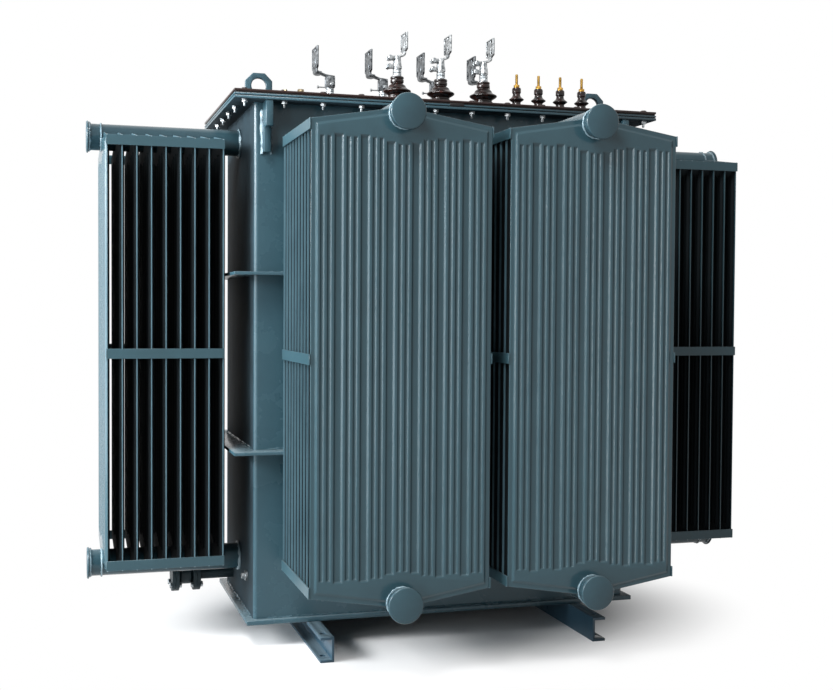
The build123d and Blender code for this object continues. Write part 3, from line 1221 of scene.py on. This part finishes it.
@dataclass
class Tank:
    """The welded tank with its base, rim, gasket, cover, ribs, skids, hooks and eyes, in metres."""

    rounding: float = 0.0015
    plate_rounding: float = 0.0008
    lug_rounding: float = 0.002
    joint_setback: float = 0.0025
    wall_bend: float = 0.045
    # Place outwards from the edge of a hook, and radius, of its two beads.
    hook_beads: tuple[tuple[float, float], ...] = ((0.001, 0.0065), (-0.026, 0.004))
    run_bead: float = 0.0035

    def build(self) -> None:
        """Round and dress the nodes whose shape is right."""
        for node in ("base_plate", "upper_rib", "lower_rib"):
            rounded_copy(node, Finishes.TANK, self.rounding)
        # The rim is stacked from three plates; the middle one is set back, a real recess, and painted black
        # as the shade in the joint.
        stack_plates("rim_flange", [
            (0.0, 0.5, 0.0, Finishes.TANK),
            (0.5, 0.66, self.joint_setback, Finishes.GASKET),
            (0.66, 1.0, 0.0, Finishes.TANK),
        ], self.plate_rounding)
        body = rounded_copy("tank_body", Finishes.TANK, self.plate_rounding, 1)
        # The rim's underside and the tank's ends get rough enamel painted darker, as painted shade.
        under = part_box("rim_flange")[0][2] + 0.001
        paint_faces(
            bpy.data.objects["rim_flange_plate_1"], Finishes.TANK_END,
            lambda corners: all(corner.z < under for corner in corners),
        )
        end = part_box("tank_body")[1][0] - 0.002
        paint_faces(
            body, Finishes.TANK_END,
            lambda corners: all(abs(corner.x) > end for corner in corners),
        )
        for node in ("front_lifting_hooks", "back_lifting_hooks", "cover_eyes"):
            rounded_copy(node, Finishes.TANK, self.lug_rounding)
        for node in ("skid_left", "skid_right"):
            rounded_copy(node, Finishes.SKID, self.rounding)
        rounded_copy("cover_gasket", Finishes.GASKET, self.plate_rounding)
        rounded_copy("cover_plate", Finishes.COVER, self.rounding)
        self.build_hook_welds()
        self.build_run_welds()

    def build_hook_welds(self) -> None:
        """Lay weld beads beside the lifting hooks."""
        low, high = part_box("front_lifting_hooks")
        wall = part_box("tank_body")[0][1]
        beads = []
        for seed, (x, outward) in enumerate(((low[0], -1), (high[0], 1))):
            for face, y in ((wall, -1), (-wall, 1)):
                for offset, bead in self.hook_beads:
                    across = x + outward * offset
                    foot = (across, face + y * 0.002, low[2] - 0.004)
                    top = (across, face + y * 0.002, high[2] - 0.022)
                    beads.append(weld_run(foot, top, bead, seed))
        weld_together("lifting_hook_welds", beads, Finishes.WELD)

    def build_run_welds(self) -> None:
        """Lay weld beads round the foot of the tank and along the ribs."""
        low, (right, back, _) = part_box("tank_body")
        end_x, end_y = right - self.wall_bend, back - self.wall_bend
        runs = []
        for seed, level in enumerate((low[2], *self.rib_levels())):
            z = level + 0.001
            for y in (-back, back):
                runs.append(weld_run((-end_x, y, z), (end_x, y, z), self.run_bead, seed))
            for x in (-right, right):
                runs.append(weld_run((x, -end_y, z), (x, end_y, z), self.run_bead, seed + 3))
        weld_together("foot_and_rib_welds", runs, Finishes.TANK)

    def rib_levels(self) -> tuple[float, float]:
        """Height of the upper face of each rib."""
        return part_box("lower_rib")[1][2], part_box("upper_rib")[1][2]


@dataclass
class SmallParts:
    """A black block on the rim's front edge, brass plugs on the cover and an earth bolt low on the left
    wall, in metres.
    """

    tab_start: float = -0.021
    tab_end: float = 0.025
    tab_reach: float = 0.0012
    tab_low: float = 0.0045
    tab_high: float = 0.004
    bolt_y: float = -0.170
    bolt_z: float = 0.200
    bolt_across: float = 0.017
    # Place along the cover, width across the flats and height of each plug.
    plugs: tuple[tuple[float, float, float], ...] = ((-0.493, 0.018, 0.008), (-0.540, 0.008, 0.006))
    plug_setback: float = 0.012

    def build_tab(self) -> None:
        """Model the thin black block that stands out a little over the front edge of the rim."""
        low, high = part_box("rim_flange")
        edge, top = low[1], high[2]
        start = (self.tab_start, edge - self.tab_reach, top - self.tab_low)
        end = (self.tab_end, edge + 0.01, top + self.tab_high)
        weld_together("black_rim_edge_block", [block(start, end, 0.0004)], Finishes.GASKET)

    def build_earth_bolt(self) -> None:
        """Model the earth bolt on its round pad, with its washer and head."""
        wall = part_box("tank_body")[0][0]
        pieces = [
            turn([(0.016, 0.0), (0.016, 0.006), (0.0145, 0.0075)], sides=24),
            turn([(0.011, 0.0075), (0.011, 0.010)], sides=20),
            hexagon(self.bolt_across, 0.010, 0.018),
        ]
        for piece in pieces:
            piece.data.transform(shift(wall, self.bolt_y, self.bolt_z) @ Heading.LEFT.turned())
        weld_together("earth_bolt", pieces, Finishes.ZINC)

    def build_plugs(self) -> None:
        """Model the hexagon plugs along the front edge of the cover."""
        low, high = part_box("cover_plate")
        plugs = []
        for x, across, height in self.plugs:
            plug = hexagon(across, 0.0, height)
            plug.data.transform(shift(x, low[1] + self.plug_setback, high[2]))
            plugs.append(plug)
        weld_together("cover_brass_plugs", plugs, Finishes.YELLOW_ZINC)

    def build(self) -> None:
        """Model them all."""
        self.build_tab()
        self.build_earth_bolt()
        self.build_plugs()


@dataclass
class RimBolts:
    """Bolts, washers and nuts that hold the cover to the rim, in metres."""

    edge_setback: float = 0.025
    long_end: float = 0.661
    long_count: int = 12
    short_count: int = 4
    across_flats: float = 0.0165
    head_height: float = 0.0045
    nut_height: float = 0.008
    washer_radius: float = 0.0105
    washer_thickness: float = 0.0018
    shank_radius: float = 0.004
    shank_reach: float = 0.021

    def places(self) -> list[tuple[float, float]]:
        """Lay out the bolts.

        Returns:
            X and Y of each bolt on the rim.
        """
        reach_x, reach_y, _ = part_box("rim_flange")[1]
        x_line, y_line = reach_x - self.edge_setback, reach_y - self.edge_setback
        spots = []
        for index in range(self.long_count):
            x = -self.long_end + 2 * self.long_end * index / (self.long_count - 1)
            spots += [(x, -y_line), (x, y_line)]
        for index in range(self.short_count):
            y = -y_line + 2 * y_line * (index + 1) / (self.short_count + 1)
            spots += [(-x_line, y), (x_line, y)]
        return spots

    def build(self) -> None:
        """Model one bolt and copy it round the rim."""
        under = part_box("rim_flange")[0][2]
        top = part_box("cover_plate")[1][2]
        washer, shank, reach = self.washer_thickness, self.shank_radius, self.shank_reach
        lower = [
            turn([(self.washer_radius, -washer), (self.washer_radius, 0.0)], sides=20),
            hexagon(self.across_flats, -washer - self.nut_height, -washer),
            turn([(shank * 0.8, -reach), (shank, -reach + 0.001), (shank, 0.0)], sides=12),
        ]
        upper = [
            turn([(self.washer_radius, 0.0), (self.washer_radius, washer)], sides=20),
            hexagon(self.across_flats, washer, washer + self.head_height),
        ]
        sets = (("rim_nuts", lower, under, Finishes.ZINC), ("cover_bolt_heads", upper, top, Finishes.COVER))
        for name, pieces, level, finish in sets:
            bolts = []
            for piece in pieces:
                bolts += repeat(piece, [shift(x, y, level) for x, y in self.places()])
            weld_together(name, bolts, finish)


@dataclass
class BushingRow:
    """A row of glazed porcelain bushings, in metres. The profile runs from the cover up."""

    name: str
    profile: list[tuple[float, float]]
    count: int

    def build(self) -> None:
        """Turn one bushing and copy it along its row."""
        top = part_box("cover_plate")[1][2]
        piece = turn(self.profile, sides=40)
        apply_modifier(
            piece, "BEVEL", width=0.0012, segments=2, limit_method="ANGLE", angle_limit=radians(25)
        )
        bpy.ops.object.shade_smooth_by_angle(angle=radians(50))
        pieces = repeat(piece, [shift(x, y, top) for x, y in row_places(self.name, self.count)])
        weld_together(f"{self.name}_porcelain", pieces, Finishes.PORCELAIN, (self.name,))


def row_places(node: str, count: int) -> list[tuple[float, float]]:
    """Places of a row of like pieces, read from the box of their node.

    Args:
        node: the node that holds the row.
        count: how many stand in it.

    Returns:
        X and Y of each, from left to right.
    """
    low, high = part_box(node)
    radius = (high[1] - low[1]) / 2
    first, last = low[0] + radius, high[0] - radius
    line = (low[1] + high[1]) / 2
    return [(first + (last - first) * index / (count - 1), line) for index in range(count)]


def scaled(profile: list[tuple[float, float]]) -> list[tuple[float, float]]:
    """A profile given in millimetres, in metres."""
    return [(radius * MM, level * MM) for radius, level in profile]


FRONT_PROFILE = scaled([
    (31, 10), (32, 12), (32, 19), (29.5, 21), (29.5, 24), (32, 26), (32, 34), (29.5, 36), (29.5, 39),
    (31, 42), (40, 47), (44.5, 50.5), (46, 53), (46, 55), (44, 57), (37, 60), (31.5, 64), (29, 68),
    (28, 71), (24.5, 74), (20, 77), (19, 79.5), (21, 81), (22, 83), (22, 90), (20.5, 91.5),
    (20.5, 93), (22, 94.5), (22, 99), (20, 101),
])
REAR_PROFILE = scaled([
    (31, 10), (32, 12), (32, 18), (29.5, 20), (29.5, 22), (32, 24), (32, 30), (33, 33),
    (40, 36), (46, 40), (46, 42), (44, 44), (37, 47), (31, 51), (28, 56), (24, 60),
    (19, 63), (21, 65), (22, 67), (22, 73), (20.5, 74.5), (20.5, 76), (22, 77.5), (22, 82), (20, 84),
])
SMALL_PROFILE = scaled([
    (19, 10), (20, 12), (20, 24), (18, 27), (16, 32), (14, 38), (15, 42), (20, 45),
    (25, 49), (25, 50.5), (21, 54), (16, 58), (13.5, 62), (12.5, 67), (12.5, 70),
    (15, 72), (15, 85), (13.5, 88.5), (11, 90),
])


def stacked_nuts(stem_radius: float, across_flats: float, height: float) -> list[bpy.types.Object]:
    """Model a stem with a washer and two nuts on it, standing at Z = 0.

    Args:
        stem_radius: radius of the threaded stem, in metres.
        across_flats: width of the nuts across their flats.
        height: height of the whole stack.

    Returns:
        The new objects.
    """
    washer = 0.003
    nut = (height - 2 * washer) / 2
    return [
        turn([(stem_radius, 0.0), (stem_radius, height)], sides=20),
        turn([(across_flats * 0.58, 0.0), (across_flats * 0.58, washer)], sides=28),
        hexagon(across_flats, washer, washer + nut),
        hexagon(across_flats, washer + nut, washer + 2 * nut - 0.001),
        turn([(across_flats * 0.54, height - washer), (across_flats * 0.54, height)], sides=28),
    ]


def clamp_bolt(centre: Point, length: float, across_flats: float) -> list[bpy.types.Object]:
    """Model a bolt along Y with its head towards -Y and its nut at the far end.

    Args:
        centre: middle of the bolt, in metres.
        length: distance between its head and its nut.
        across_flats: width of both across their flats.

    Returns:
        The new objects.
    """
    half = length / 2
    pieces = [
        hexagon(across_flats, half, half + 0.006),
        turn([(across_flats * 0.56, half - 0.0015), (across_flats * 0.56, half)], sides=20),
        hexagon(across_flats, -half - 0.007, -half),
        turn([(0.0038, -half - 0.012), (0.0038, half)], sides=12),
    ]
    for piece in pieces:
        piece.data.transform(Matrix.Translation(centre) @ Heading.FRONT.turned())
    return pieces


def cut_holes(flag: bpy.types.Object, x: float, level: float, spacing: float, radius: float) -> None:
    """Drill the four bolt holes of a flag.

    Args:
        flag: the strip that the flag is part of.
        x: place of the flag along the row, in metres.
        level: height of its middle.
        spacing: distance between holes.
        radius: their radius.
    """
    for across in (-spacing / 2, spacing / 2):
        for up in (-spacing / 2, spacing / 2):
            drill(flag, (x, across, level + up), radius, 0.04)


def shade_hole_walls(flags: bpy.types.Object, y: float, level: float, spacing: float, radius: float) -> None:
    """Paint the walls of the flags' bolt holes dark, as painted shade inside the holes.

    Args:
        flags: the joined castings of a row.
        y: line of the row.
        level: height of the middle of the flags.
        spacing: distance between holes.
        radius: their radius.
    """
    half = spacing / 2
    centres = [(y + across, level + up) for across in (-half, half) for up in (-half, half)]

    def on_wall(corners: list[Vector]) -> bool:
        """Tell whether a face lies on the wall of a hole.

        Args:
            corners: its corners.

        Returns:
            True where all of them lie on the wall of one hole.
        """
        return any(
            all(abs(hypot(corner.y - line, corner.z - height) - radius) < 0.0003 for corner in corners)
            for line, height in centres
        )

    paint_faces(flags, Finishes.TARNISH, on_wall)


@dataclass
class ClampTerminals:
    """A row of cast clamp terminals with upright flags, in metres.

    They are modelled about the axis of a bushing, from the top of its porcelain.
    """

    name: str
    row: str
    count: int
    finish: Finishes
    porcelain_height: float
    clamp_height: float
    flag_shift: float
    # Height of the foot of the flag over the top of the clamp.
    flag_rise: float
    flag_width: float
    flag_height: float
    hole_spacing: float
    hole_radius: float
    strip_rounding: float
    stem_height: float = 0.025
    stem_radius: float = 0.009
    stem_nut_across: float = 0.025
    arm_width: float = 0.020
    flag_thickness: float = 0.007

    @property
    def clamp_top(self) -> float:
        """Height of the top of the clamp."""
        return self.stem_height + self.clamp_height

    @property
    def flag_middle(self) -> float:
        """Height of the middle of the flag."""
        return self.clamp_top + self.flag_rise + self.flag_height / 2

    def build_clamp(self) -> list[bpy.types.Object]:
        """Model the clamp on its stem.

        Returns:
            The new objects.
        """
        raise NotImplementedError

    def arm_steps(self) -> list[tuple[float, float, float]]:
        """Lay out the strip that the arm and the flag are bent from.

        Returns:
            X, Z and width of each line across it.
        """
        raise NotImplementedError

    def build_bolts(self) -> list[bpy.types.Object]:
        """Model the bolts of the clamp.

        Returns:
            The new objects.
        """
        raise NotImplementedError

    def build_arm(self) -> bpy.types.Object:
        """Bend the arm and the flag from one strip, and drill the flag.

        Returns:
            The new object.
        """
        strip = bend_strip(self.arm_steps(), self.flag_thickness, self.strip_rounding)
        cut_holes(strip, self.flag_shift, self.flag_middle, self.hole_spacing, self.hole_radius)
        return strip

    def build(self) -> None:
        """Model one terminal and copy it along the row."""
        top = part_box("cover_plate")[1][2] + self.porcelain_height
        spots = [shift(x, y, top) for x, y in row_places(self.row, self.count)]
        castings, fasteners = [], []
        for piece in [*self.build_clamp(), self.build_arm()]:
            castings += repeat(piece, spots)
        stem = stacked_nuts(self.stem_radius, self.stem_nut_across, self.stem_height)
        for piece in [*stem, *self.build_bolts()]:
            fasteners += repeat(piece, spots)
        flags = weld_together(f"{self.name}_castings", castings, self.finish, (f"{self.name}s",))
        # The walls of the bolt holes get painted shade.
        line = spots[0].translation.y
        shade_hole_walls(flags, line, top + self.flag_middle, self.hole_spacing, self.hole_radius)
        weld_together(f"{self.name}_fasteners", fasteners, Finishes.ZINC)


@dataclass
class FrontTerminals(ClampTerminals):
    """The terminals of the front bushings: tapered clamps with two ears, and narrow-necked flags."""

    name: str = "front_terminal"
    row: str = "front_bushings"
    count: int = 3
    finish: Finishes = Finishes.TINNED
    porcelain_height: float = 0.101
    clamp_height: float = 0.044
    flag_shift: float = 0.024
    flag_rise: float = 0.015
    flag_width: float = 0.068
    flag_height: float = 0.058
    hole_spacing: float = 0.038
    hole_radius: float = 0.0055
    strip_rounding: float = 0.0016
    clamp_radius: float = 0.0155
    clamp_top_radius: float = 0.0105
    neck_width: float = 0.026
    # Half the thickness of an ear and of the web behind it.
    ear_half: float = 0.008
    web_half: float = 0.0065

    def ears(self) -> tuple[tuple[float, float, float], ...]:
        """X, height and radius of the two ears that the clamp's bolts pass through."""
        upper = self.clamp_top - 0.009
        return (-0.0235, upper, 0.0085), (-0.0265, upper - 0.028, 0.0075)

    def build_clamp(self) -> list[bpy.types.Object]:
        """Model the tapered clamp with its two ears.

        Returns:
            The new objects.
        """
        low, high = self.stem_height, self.clamp_top
        r, top = self.clamp_radius, self.clamp_top_radius
        body = turn([
            (r - 0.0015, low), (r, low + 0.0015), (r, low + 0.008), (r - 0.001, low + 0.012),
            (top + 0.001, high - 0.006), (top - 0.001, high - 0.002), (top - 0.004, high),
        ], sides=36)
        half, web = self.ear_half, self.web_half
        pieces = [body]
        for x, z, radius in self.ears():
            inner = radius - 0.0015
            ear = turn([(inner, -half), (radius, -web), (radius, web), (inner, half)], sides=24)
            ear.data.transform(shift(x, 0, z) @ Heading.FRONT.turned())
            reach = radius - 0.001
            pieces += [ear, block((x, -web, z - reach), (-0.004, web, z + reach), 0.002)]
        return pieces

    def arm_steps(self) -> list[tuple[float, float, float]]:
        """Lay out the arm, its neck and the flag.

        Returns:
            X, Z and width of each line across the strip.
        """
        high, x = self.clamp_top, self.flag_shift
        foot = high + self.flag_rise
        width, neck, flag = self.arm_width, self.neck_width, self.flag_width
        return [
            (-0.008, high - 0.005, 0.014), (0.004, high - 0.003, width), (x - 0.006, high + 0.001, width),
            (x - 0.0015, high + 0.003, width), (x, high + 0.008, neck), (x, foot - 0.003, neck),
            (x, foot + 0.002, flag - 0.006), (x, foot + 0.005, flag), (x, foot + self.flag_height, flag),
        ]

    def build_bolts(self) -> list[bpy.types.Object]:
        """Model a bolt through each ear.

        Returns:
            The new objects.
        """
        pieces = []
        for x, z, _ in self.ears():
            pieces += clamp_bolt((x - 0.002, 0, z), 0.017, 0.0145)
        return pieces


@dataclass
class RearTerminals(ClampTerminals):
    """The terminals of the rear bushings: square slit clamps, and large flags on a broad foot."""

    name: str = "rear_terminal"
    row: str = "rear_bushings"
    count: int = 4
    finish: Finishes = Finishes.WEATHERED
    porcelain_height: float = 0.084
    clamp_height: float = 0.042
    flag_shift: float = -0.052
    flag_rise: float = 0.020
    flag_width: float = 0.084
    flag_height: float = 0.076
    hole_spacing: float = 0.050
    hole_radius: float = 0.007
    strip_rounding: float = 0.0014
    clamp_width: float = 0.032
    foot_width: float = 0.058
    # Half the width of the slit in the clamp.
    slit_half: float = 0.0015

    def build_clamp(self) -> list[bpy.types.Object]:
        """Model the square clamp, slit at its left.

        Returns:
            The new objects.
        """
        low, high, slit = self.stem_height, self.clamp_top, self.slit_half
        half = self.clamp_width / 2
        body = block((-half, -half, low), (half, half, high), 0.005)
        cut_away(body, block((-half - 0.001, -slit, low - 0.001), (0, slit, high + 0.001), 0.0002))
        return [body]

    def arm_steps(self) -> list[tuple[float, float, float]]:
        """Lay out the arm, its broad foot and the flag.

        Returns:
            X, Z and width of each line across the strip.
        """
        high, x = self.clamp_top, self.flag_shift
        foot = high + self.flag_rise
        width, broad, flag = self.arm_width, self.foot_width, self.flag_width
        return [
            (0.0155, high - 0.002, width), (-0.015, high + 0.0015, width), (x + 0.022, high + 0.0065, width),
            (x + 0.016, high + 0.0074, broad), (x + 0.006, high + 0.008, broad),
            (x + 0.0015, high + 0.010, broad), (x, high + 0.014, broad), (x, foot - 0.001, broad),
            (x, foot + 0.004, flag - 0.004), (x, foot + 0.007, flag), (x, foot + self.flag_height, flag),
        ]

    def build_bolts(self) -> list[bpy.types.Object]:
        """Model the bolt across the slit and the thin rod that stands out to the left.

        Returns:
            The new objects.
        """
        rod = turn([(0.0022, 0.012), (0.0022, 0.040), (0.005, 0.040), (0.005, 0.045)], sides=12)
        rod.data.transform(shift(0, 0, self.stem_height + 0.003) @ Heading.LEFT.turned())
        return [*clamp_bolt((0.003, 0, self.stem_height + 0.014), 0.033, 0.012), rod]


@dataclass
class Studs:
    """Threaded brass studs with washers and nuts on the small bushings, in metres."""

    base: float = 0.090
    radius: float = 0.005
    length: float = 0.044
    thread_pitch: float = 0.003
    across_flats: float = 0.017
    nut_top: float = 0.009
    washer_radius: float = 0.0095
    washer_thickness: float = 0.002
    # Distance from the axis of an end stud to the end of the row's box.
    end_reach: float = 0.011
    count: int = 4

    def thread_profile(self) -> list[tuple[float, float]]:
        """Zigzag up the stud, with a pitch coarser than the real one so that it shows.

        Returns:
            Radius and height of each step.
        """
        turns = int(self.length / self.thread_pitch)
        profile = []
        for index in range(turns):
            level = index * self.thread_pitch
            profile += [(self.radius, level), (self.radius * 0.86, level + self.thread_pitch / 2)]
        profile += [(self.radius * 0.95, turns * self.thread_pitch), (self.radius * 0.7, self.length)]
        return profile

    def build(self) -> None:
        """Model one stud and copy it along the row."""
        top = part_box("cover_plate")[1][2] + self.base
        low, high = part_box("small_studs")
        line = (low[1] + high[1]) / 2
        first, last = low[0] + self.end_reach, high[0] - self.end_reach
        xs = [first + (last - first) * index / (self.count - 1) for index in range(self.count)]
        washer = self.washer_thickness
        pieces = [
            turn(self.thread_profile(), sides=16),
            turn([(self.washer_radius, 0.0), (self.washer_radius, washer)], sides=20),
            hexagon(self.across_flats, washer, self.nut_top),
        ]
        studs = []
        for piece in pieces:
            studs += repeat(piece, [shift(x, line, top) for x in xs])
        weld_together("small_brass_studs", studs, Finishes.BRASS, ("small_studs",))


@dataclass
class DrainValve:
    """Flanged drain valve on the left wall, in metres, modelled out along +Z from the wall."""

    pipe_radius: float = 0.021
    pipe_length: float = 0.112
    flange_radius: float = 0.056
    flange_thickness: float = 0.012
    body_radius: float = 0.034
    body_length: float = 0.046
    bolt_circle: float = 0.044
    bolt_count: int = 4
    nut_height: float = 0.008
    nut_across: float = 0.017
    flange_lip: float = 0.0012
    # Length of the body's shoulder at each end.
    shoulder: float = 0.008

    def flange(self, low: float) -> bpy.types.Object:
        """Turn one flange.

        Args:
            low: distance of its near face from the wall.

        Returns:
            The new object.
        """
        high = low + self.flange_thickness
        r, lip = self.flange_radius, self.flange_lip
        return turn([(r - lip, low), (r, low + lip), (r, high - lip), (r - lip, high)], sides=40)

    def build(self) -> None:
        """Model the pipe, the flange pairs, the body and the bolts."""
        low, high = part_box("drain_valve")
        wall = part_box("tank_body")[0][0]
        place = shift(wall, (low[1] + high[1]) / 2, (low[2] + high[2]) / 2) @ Heading.LEFT.turned()
        pipe = turn([(self.pipe_radius, 0.0), (self.pipe_radius, self.pipe_length)])
        pipe.data.transform(place)
        weld_together("drain_stub_pipe", [pipe], Finishes.VALVE, ("drain_pipe",))
        pair = 2 * self.flange_thickness
        body_start = self.pipe_length + pair
        outer_start = body_start + self.body_length
        pieces, bolts = [], []
        for start in (self.pipe_length, outer_start):
            pieces += [self.flange(start), self.flange(start + self.flange_thickness)]
            for index in range(self.bolt_count):
                angle = 2 * pi * (index + 0.5) / self.bolt_count
                spot = shift(self.bolt_circle * cos(angle), self.bolt_circle * sin(angle), start)
                for low_end, high_end in ((-self.nut_height, 0.0), (pair, pair + self.nut_height)):
                    head = hexagon(self.nut_across, low_end, high_end)
                    head.data.transform(place @ spot)
                    bolts.append(head)
        r, shoulder = self.body_radius, self.shoulder
        pieces.append(turn([
            (r * 0.8, body_start), (r, body_start + shoulder),
            (r, outer_start - shoulder), (r * 0.8, outer_start),
        ]))
        for piece in pieces:
            piece.data.transform(place)
        weld_together("drain_valve_casting", pieces, Finishes.VALVE, ("drain_valve",))
        weld_together("drain_valve_bolts", bolts, Finishes.ZINC)


@dataclass(frozen=True)
class SoftLamp:
    """One soft rectangular lamp, in metres and watts."""

    name: str
    place: Point
    aim: Point
    width: float
    height: float
    power: float
    colour: str = "#FFFFFF"

    def hang(self) -> None:
        """Hang the lamp at its place, facing its aim."""
        lamp = bpy.data.lights.new(self.name, "AREA")
        lamp.shape = "RECTANGLE"
        lamp.size = self.width
        lamp.size_y = self.height
        lamp.energy = self.power
        lamp.color = linear(self.colour)[:3]
        fitting = bpy.data.objects.new(self.name, lamp)
        bpy.context.collection.objects.link(fitting)
        line = Vector(self.aim) - Vector(self.place)
        turned = line.to_track_quat("-Z", "Y").to_matrix().to_4x4()
        fitting.matrix_world = Matrix.Translation(self.place) @ turned


@dataclass
class Studio:
    """Plain pale floor, white surroundings, soft lamps and the camera, in metres."""

    camera_place: Point = (-1.2274, -4.0040, 1.0466)
    camera_yaw: float = 16.82
    camera_pitch: float = -1.69
    camera_roll: float = 0.35
    lens_mm: float = 52.75
    floor_size: float = 60.0
    floor_drop: float = 0.0005
    # Distances at which the shadow starts to fade and is gone, in shares of half the footprint.
    shadow_reach: float = 0.45
    shadow_end: float = 1.1
    # How white the floor is to the camera, and how much of the light it throws back.
    seen_white: float = 0.96
    thrown_back: float = 0.45
    sky_colour: Point = (0.93, 0.97, 1.0)
    sky_strength: float = 0.15
    lamps: tuple[SoftLamp, ...] = (
        SoftLamp("key_lamp", (-2.6, -2.9, 5.4), (0.0, 0.0, 1.0), 1.8, 1.8, 280.0),
        SoftLamp("left_window_lamp", (-4.2, -0.6, 1.7), (0.0, -0.6, 1.2), 3.6, 3.2, 240.0, "#EEF7FF"),
        SoftLamp("upper_left_lamp", (-4.1, -0.9, 2.2), (0.0, -0.6, 1.5), 2.8, 0.9, 220.0),
        SoftLamp("front_left_strip_lamp", (-4.3, -3.9, 1.4), (0.0, -0.6, 1.0), 0.6, 3.0, 60.0),
    )

    def build_camera(self) -> None:
        """Set the camera at the photograph's viewing angle."""
        camera = bpy.data.cameras.new("camera")
        camera.lens = self.lens_mm
        camera.sensor_width = 36.0
        view = bpy.data.objects.new("camera", camera)
        bpy.context.collection.objects.link(view)
        aim = (
            Matrix.Rotation(radians(-self.camera_yaw), 4, "Z")
            @ Matrix.Rotation(radians(90 + self.camera_pitch), 4, "X")
            @ Matrix.Rotation(radians(self.camera_roll), 4, "Z")
        )
        view.matrix_world = Matrix.Translation(self.camera_place) @ aim
        bpy.context.scene.camera = view

    def build_floor(self) -> None:
        """Lay the floor, which keeps the object's shadow and turns white round its footprint."""
        deselect_all()
        # The bounds are read first, because the floor counts in them until it is made stage.
        reach_x, reach_y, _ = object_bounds()[1]
        bpy.ops.mesh.primitive_plane_add(size=self.floor_size, location=(0, 0, -self.floor_drop))
        floor = settle()
        floor.name = "studio_floor"
        material = new_material("matt_white_floor")
        tree = material.node_tree
        seen = any_ray(tree, "Is Camera Ray", "Is Glossy Ray")
        place = add_node(tree, "ShaderNodeTexCoord").outputs["Object"]
        share = add_node(
            tree, "ShaderNodeVectorMath", {0: place, 1: (reach_x, reach_y, 1.0)}, operation="DIVIDE"
        )
        distance = add_node(tree, "ShaderNodeVectorMath", {0: share.outputs["Vector"]}, operation="LENGTH")
        away = add_node(
            tree, "ShaderNodeMapRange",
            {
                "Value": distance.outputs["Value"],
                "From Min": self.shadow_reach,
                "From Max": self.shadow_end,
            },
            interpolation_type="SMOOTHSTEP",
        )
        matt, near = (
            add_node(tree, "ShaderNodeBsdfDiffuse", {"Color": (tone, tone, tone, 1.0)})
            for tone in (self.thrown_back, self.seen_white)
        )
        white = add_node(tree, "ShaderNodeEmission", {"Color": (1.0, 1.0, 1.0, 1.0), "Strength": 1.0})
        shown = add_node(
            tree, "ShaderNodeMixShader",
            {"Fac": away.outputs["Result"], 1: near.outputs[0], 2: white.outputs[0]},
        )
        shader = add_node(
            tree, "ShaderNodeMixShader", {"Fac": seen, 1: matt.outputs[0], 2: shown.outputs[0]}
        )
        add_node(tree, "ShaderNodeOutputMaterial", {"Surface": shader.outputs[0]})
        floor.data.materials.append(material)
        floor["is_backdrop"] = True

    def build_world(self) -> None:
        """Light the scene softly from all round, with a white background."""
        world = bpy.data.worlds.new("studio")
        bpy.context.scene.world = world
        world.use_nodes = True
        tree = world.node_tree
        tree.nodes.clear()
        seen = any_ray(tree, "Is Camera Ray", "Is Glossy Ray", "Is Transmission Ray")
        soft = add_node(
            tree, "ShaderNodeBackground", {"Color": (*self.sky_colour, 1.0), "Strength": self.sky_strength}
        )
        white = add_node(tree, "ShaderNodeBackground", {"Color": (1.0, 1.0, 1.0, 1.0), "Strength": 1.0})
        mix = add_node(tree, "ShaderNodeMixShader", {"Fac": seen, 1: soft.outputs[0], 2: white.outputs[0]})
        add_node(tree, "ShaderNodeOutputWorld", {"Surface": mix.outputs[0]})

    def build(self) -> None:
        """Build the camera, floor, surroundings and lamps."""
        bpy.context.scene.view_settings.view_transform = "Standard"
        self.build_camera()
        self.build_floor()
        self.build_world()
        for lamp in self.lamps:
            lamp.hang()


def main() -> None:
    """Build the transformer piece by piece, and then its studio."""
    logging.basicConfig(level=logging.INFO, format="%(name)s %(message)s")
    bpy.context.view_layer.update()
    deselect_all()
    Tank().build()
    RimBolts().build()
    SmallParts().build()
    # The panels inside a bank show little more than their edges, so they are pressed less deep.
    inner_shape = PressedPanel(
        seam_width=0.013, step_slope=0.005, valley_depth=0.0040, groove_depth=0.0030, press_run=1.3,
    )
    plain = inner_shape.build(rounded=False)
    rounded = PressedPanel().build(rounded=True)
    radiators = [
        Radiator("front_left", Side.FRONT, 10, 0.086, -0.288, edges=Finishes.SEAM_EDGE),
        Radiator("front_right", Side.FRONT, 10, 0.086, 0.288, edges=Finishes.SEAM_EDGE),
        Radiator("back_left", Side.BACK, 10, 0.086, 0.288),
        Radiator("back_right", Side.BACK, 10, 0.086, -0.288),
        Radiator("left_end", Side.LEFT, 9, 0.088, edges=Finishes.SEAM_EDGE),
        Radiator("right_end", Side.RIGHT, 9, 0.088),
    ]
    for radiator in radiators:
        radiator.build(plain, rounded)
    bpy.data.objects.remove(plain)
    bpy.data.objects.remove(rounded)
    BushingRow("front_bushings", FRONT_PROFILE, 3).build()
    BushingRow("rear_bushings", REAR_PROFILE, 4).build()
    BushingRow("small_bushings", SMALL_PROFILE, 4).build()
    rounded_copy("bushing_feet", Finishes.FOOT, 0.001)
    FrontTerminals().build()
    RearTerminals().build()
    Studs().build()
    DrainValve().build()
    Studio().build()


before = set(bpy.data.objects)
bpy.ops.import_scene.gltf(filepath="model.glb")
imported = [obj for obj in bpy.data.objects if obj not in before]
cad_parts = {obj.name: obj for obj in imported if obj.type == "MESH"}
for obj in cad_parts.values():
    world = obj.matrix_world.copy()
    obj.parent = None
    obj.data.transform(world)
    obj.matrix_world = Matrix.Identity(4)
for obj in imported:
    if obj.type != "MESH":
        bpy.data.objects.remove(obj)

if __name__ == "__main__":
    main()
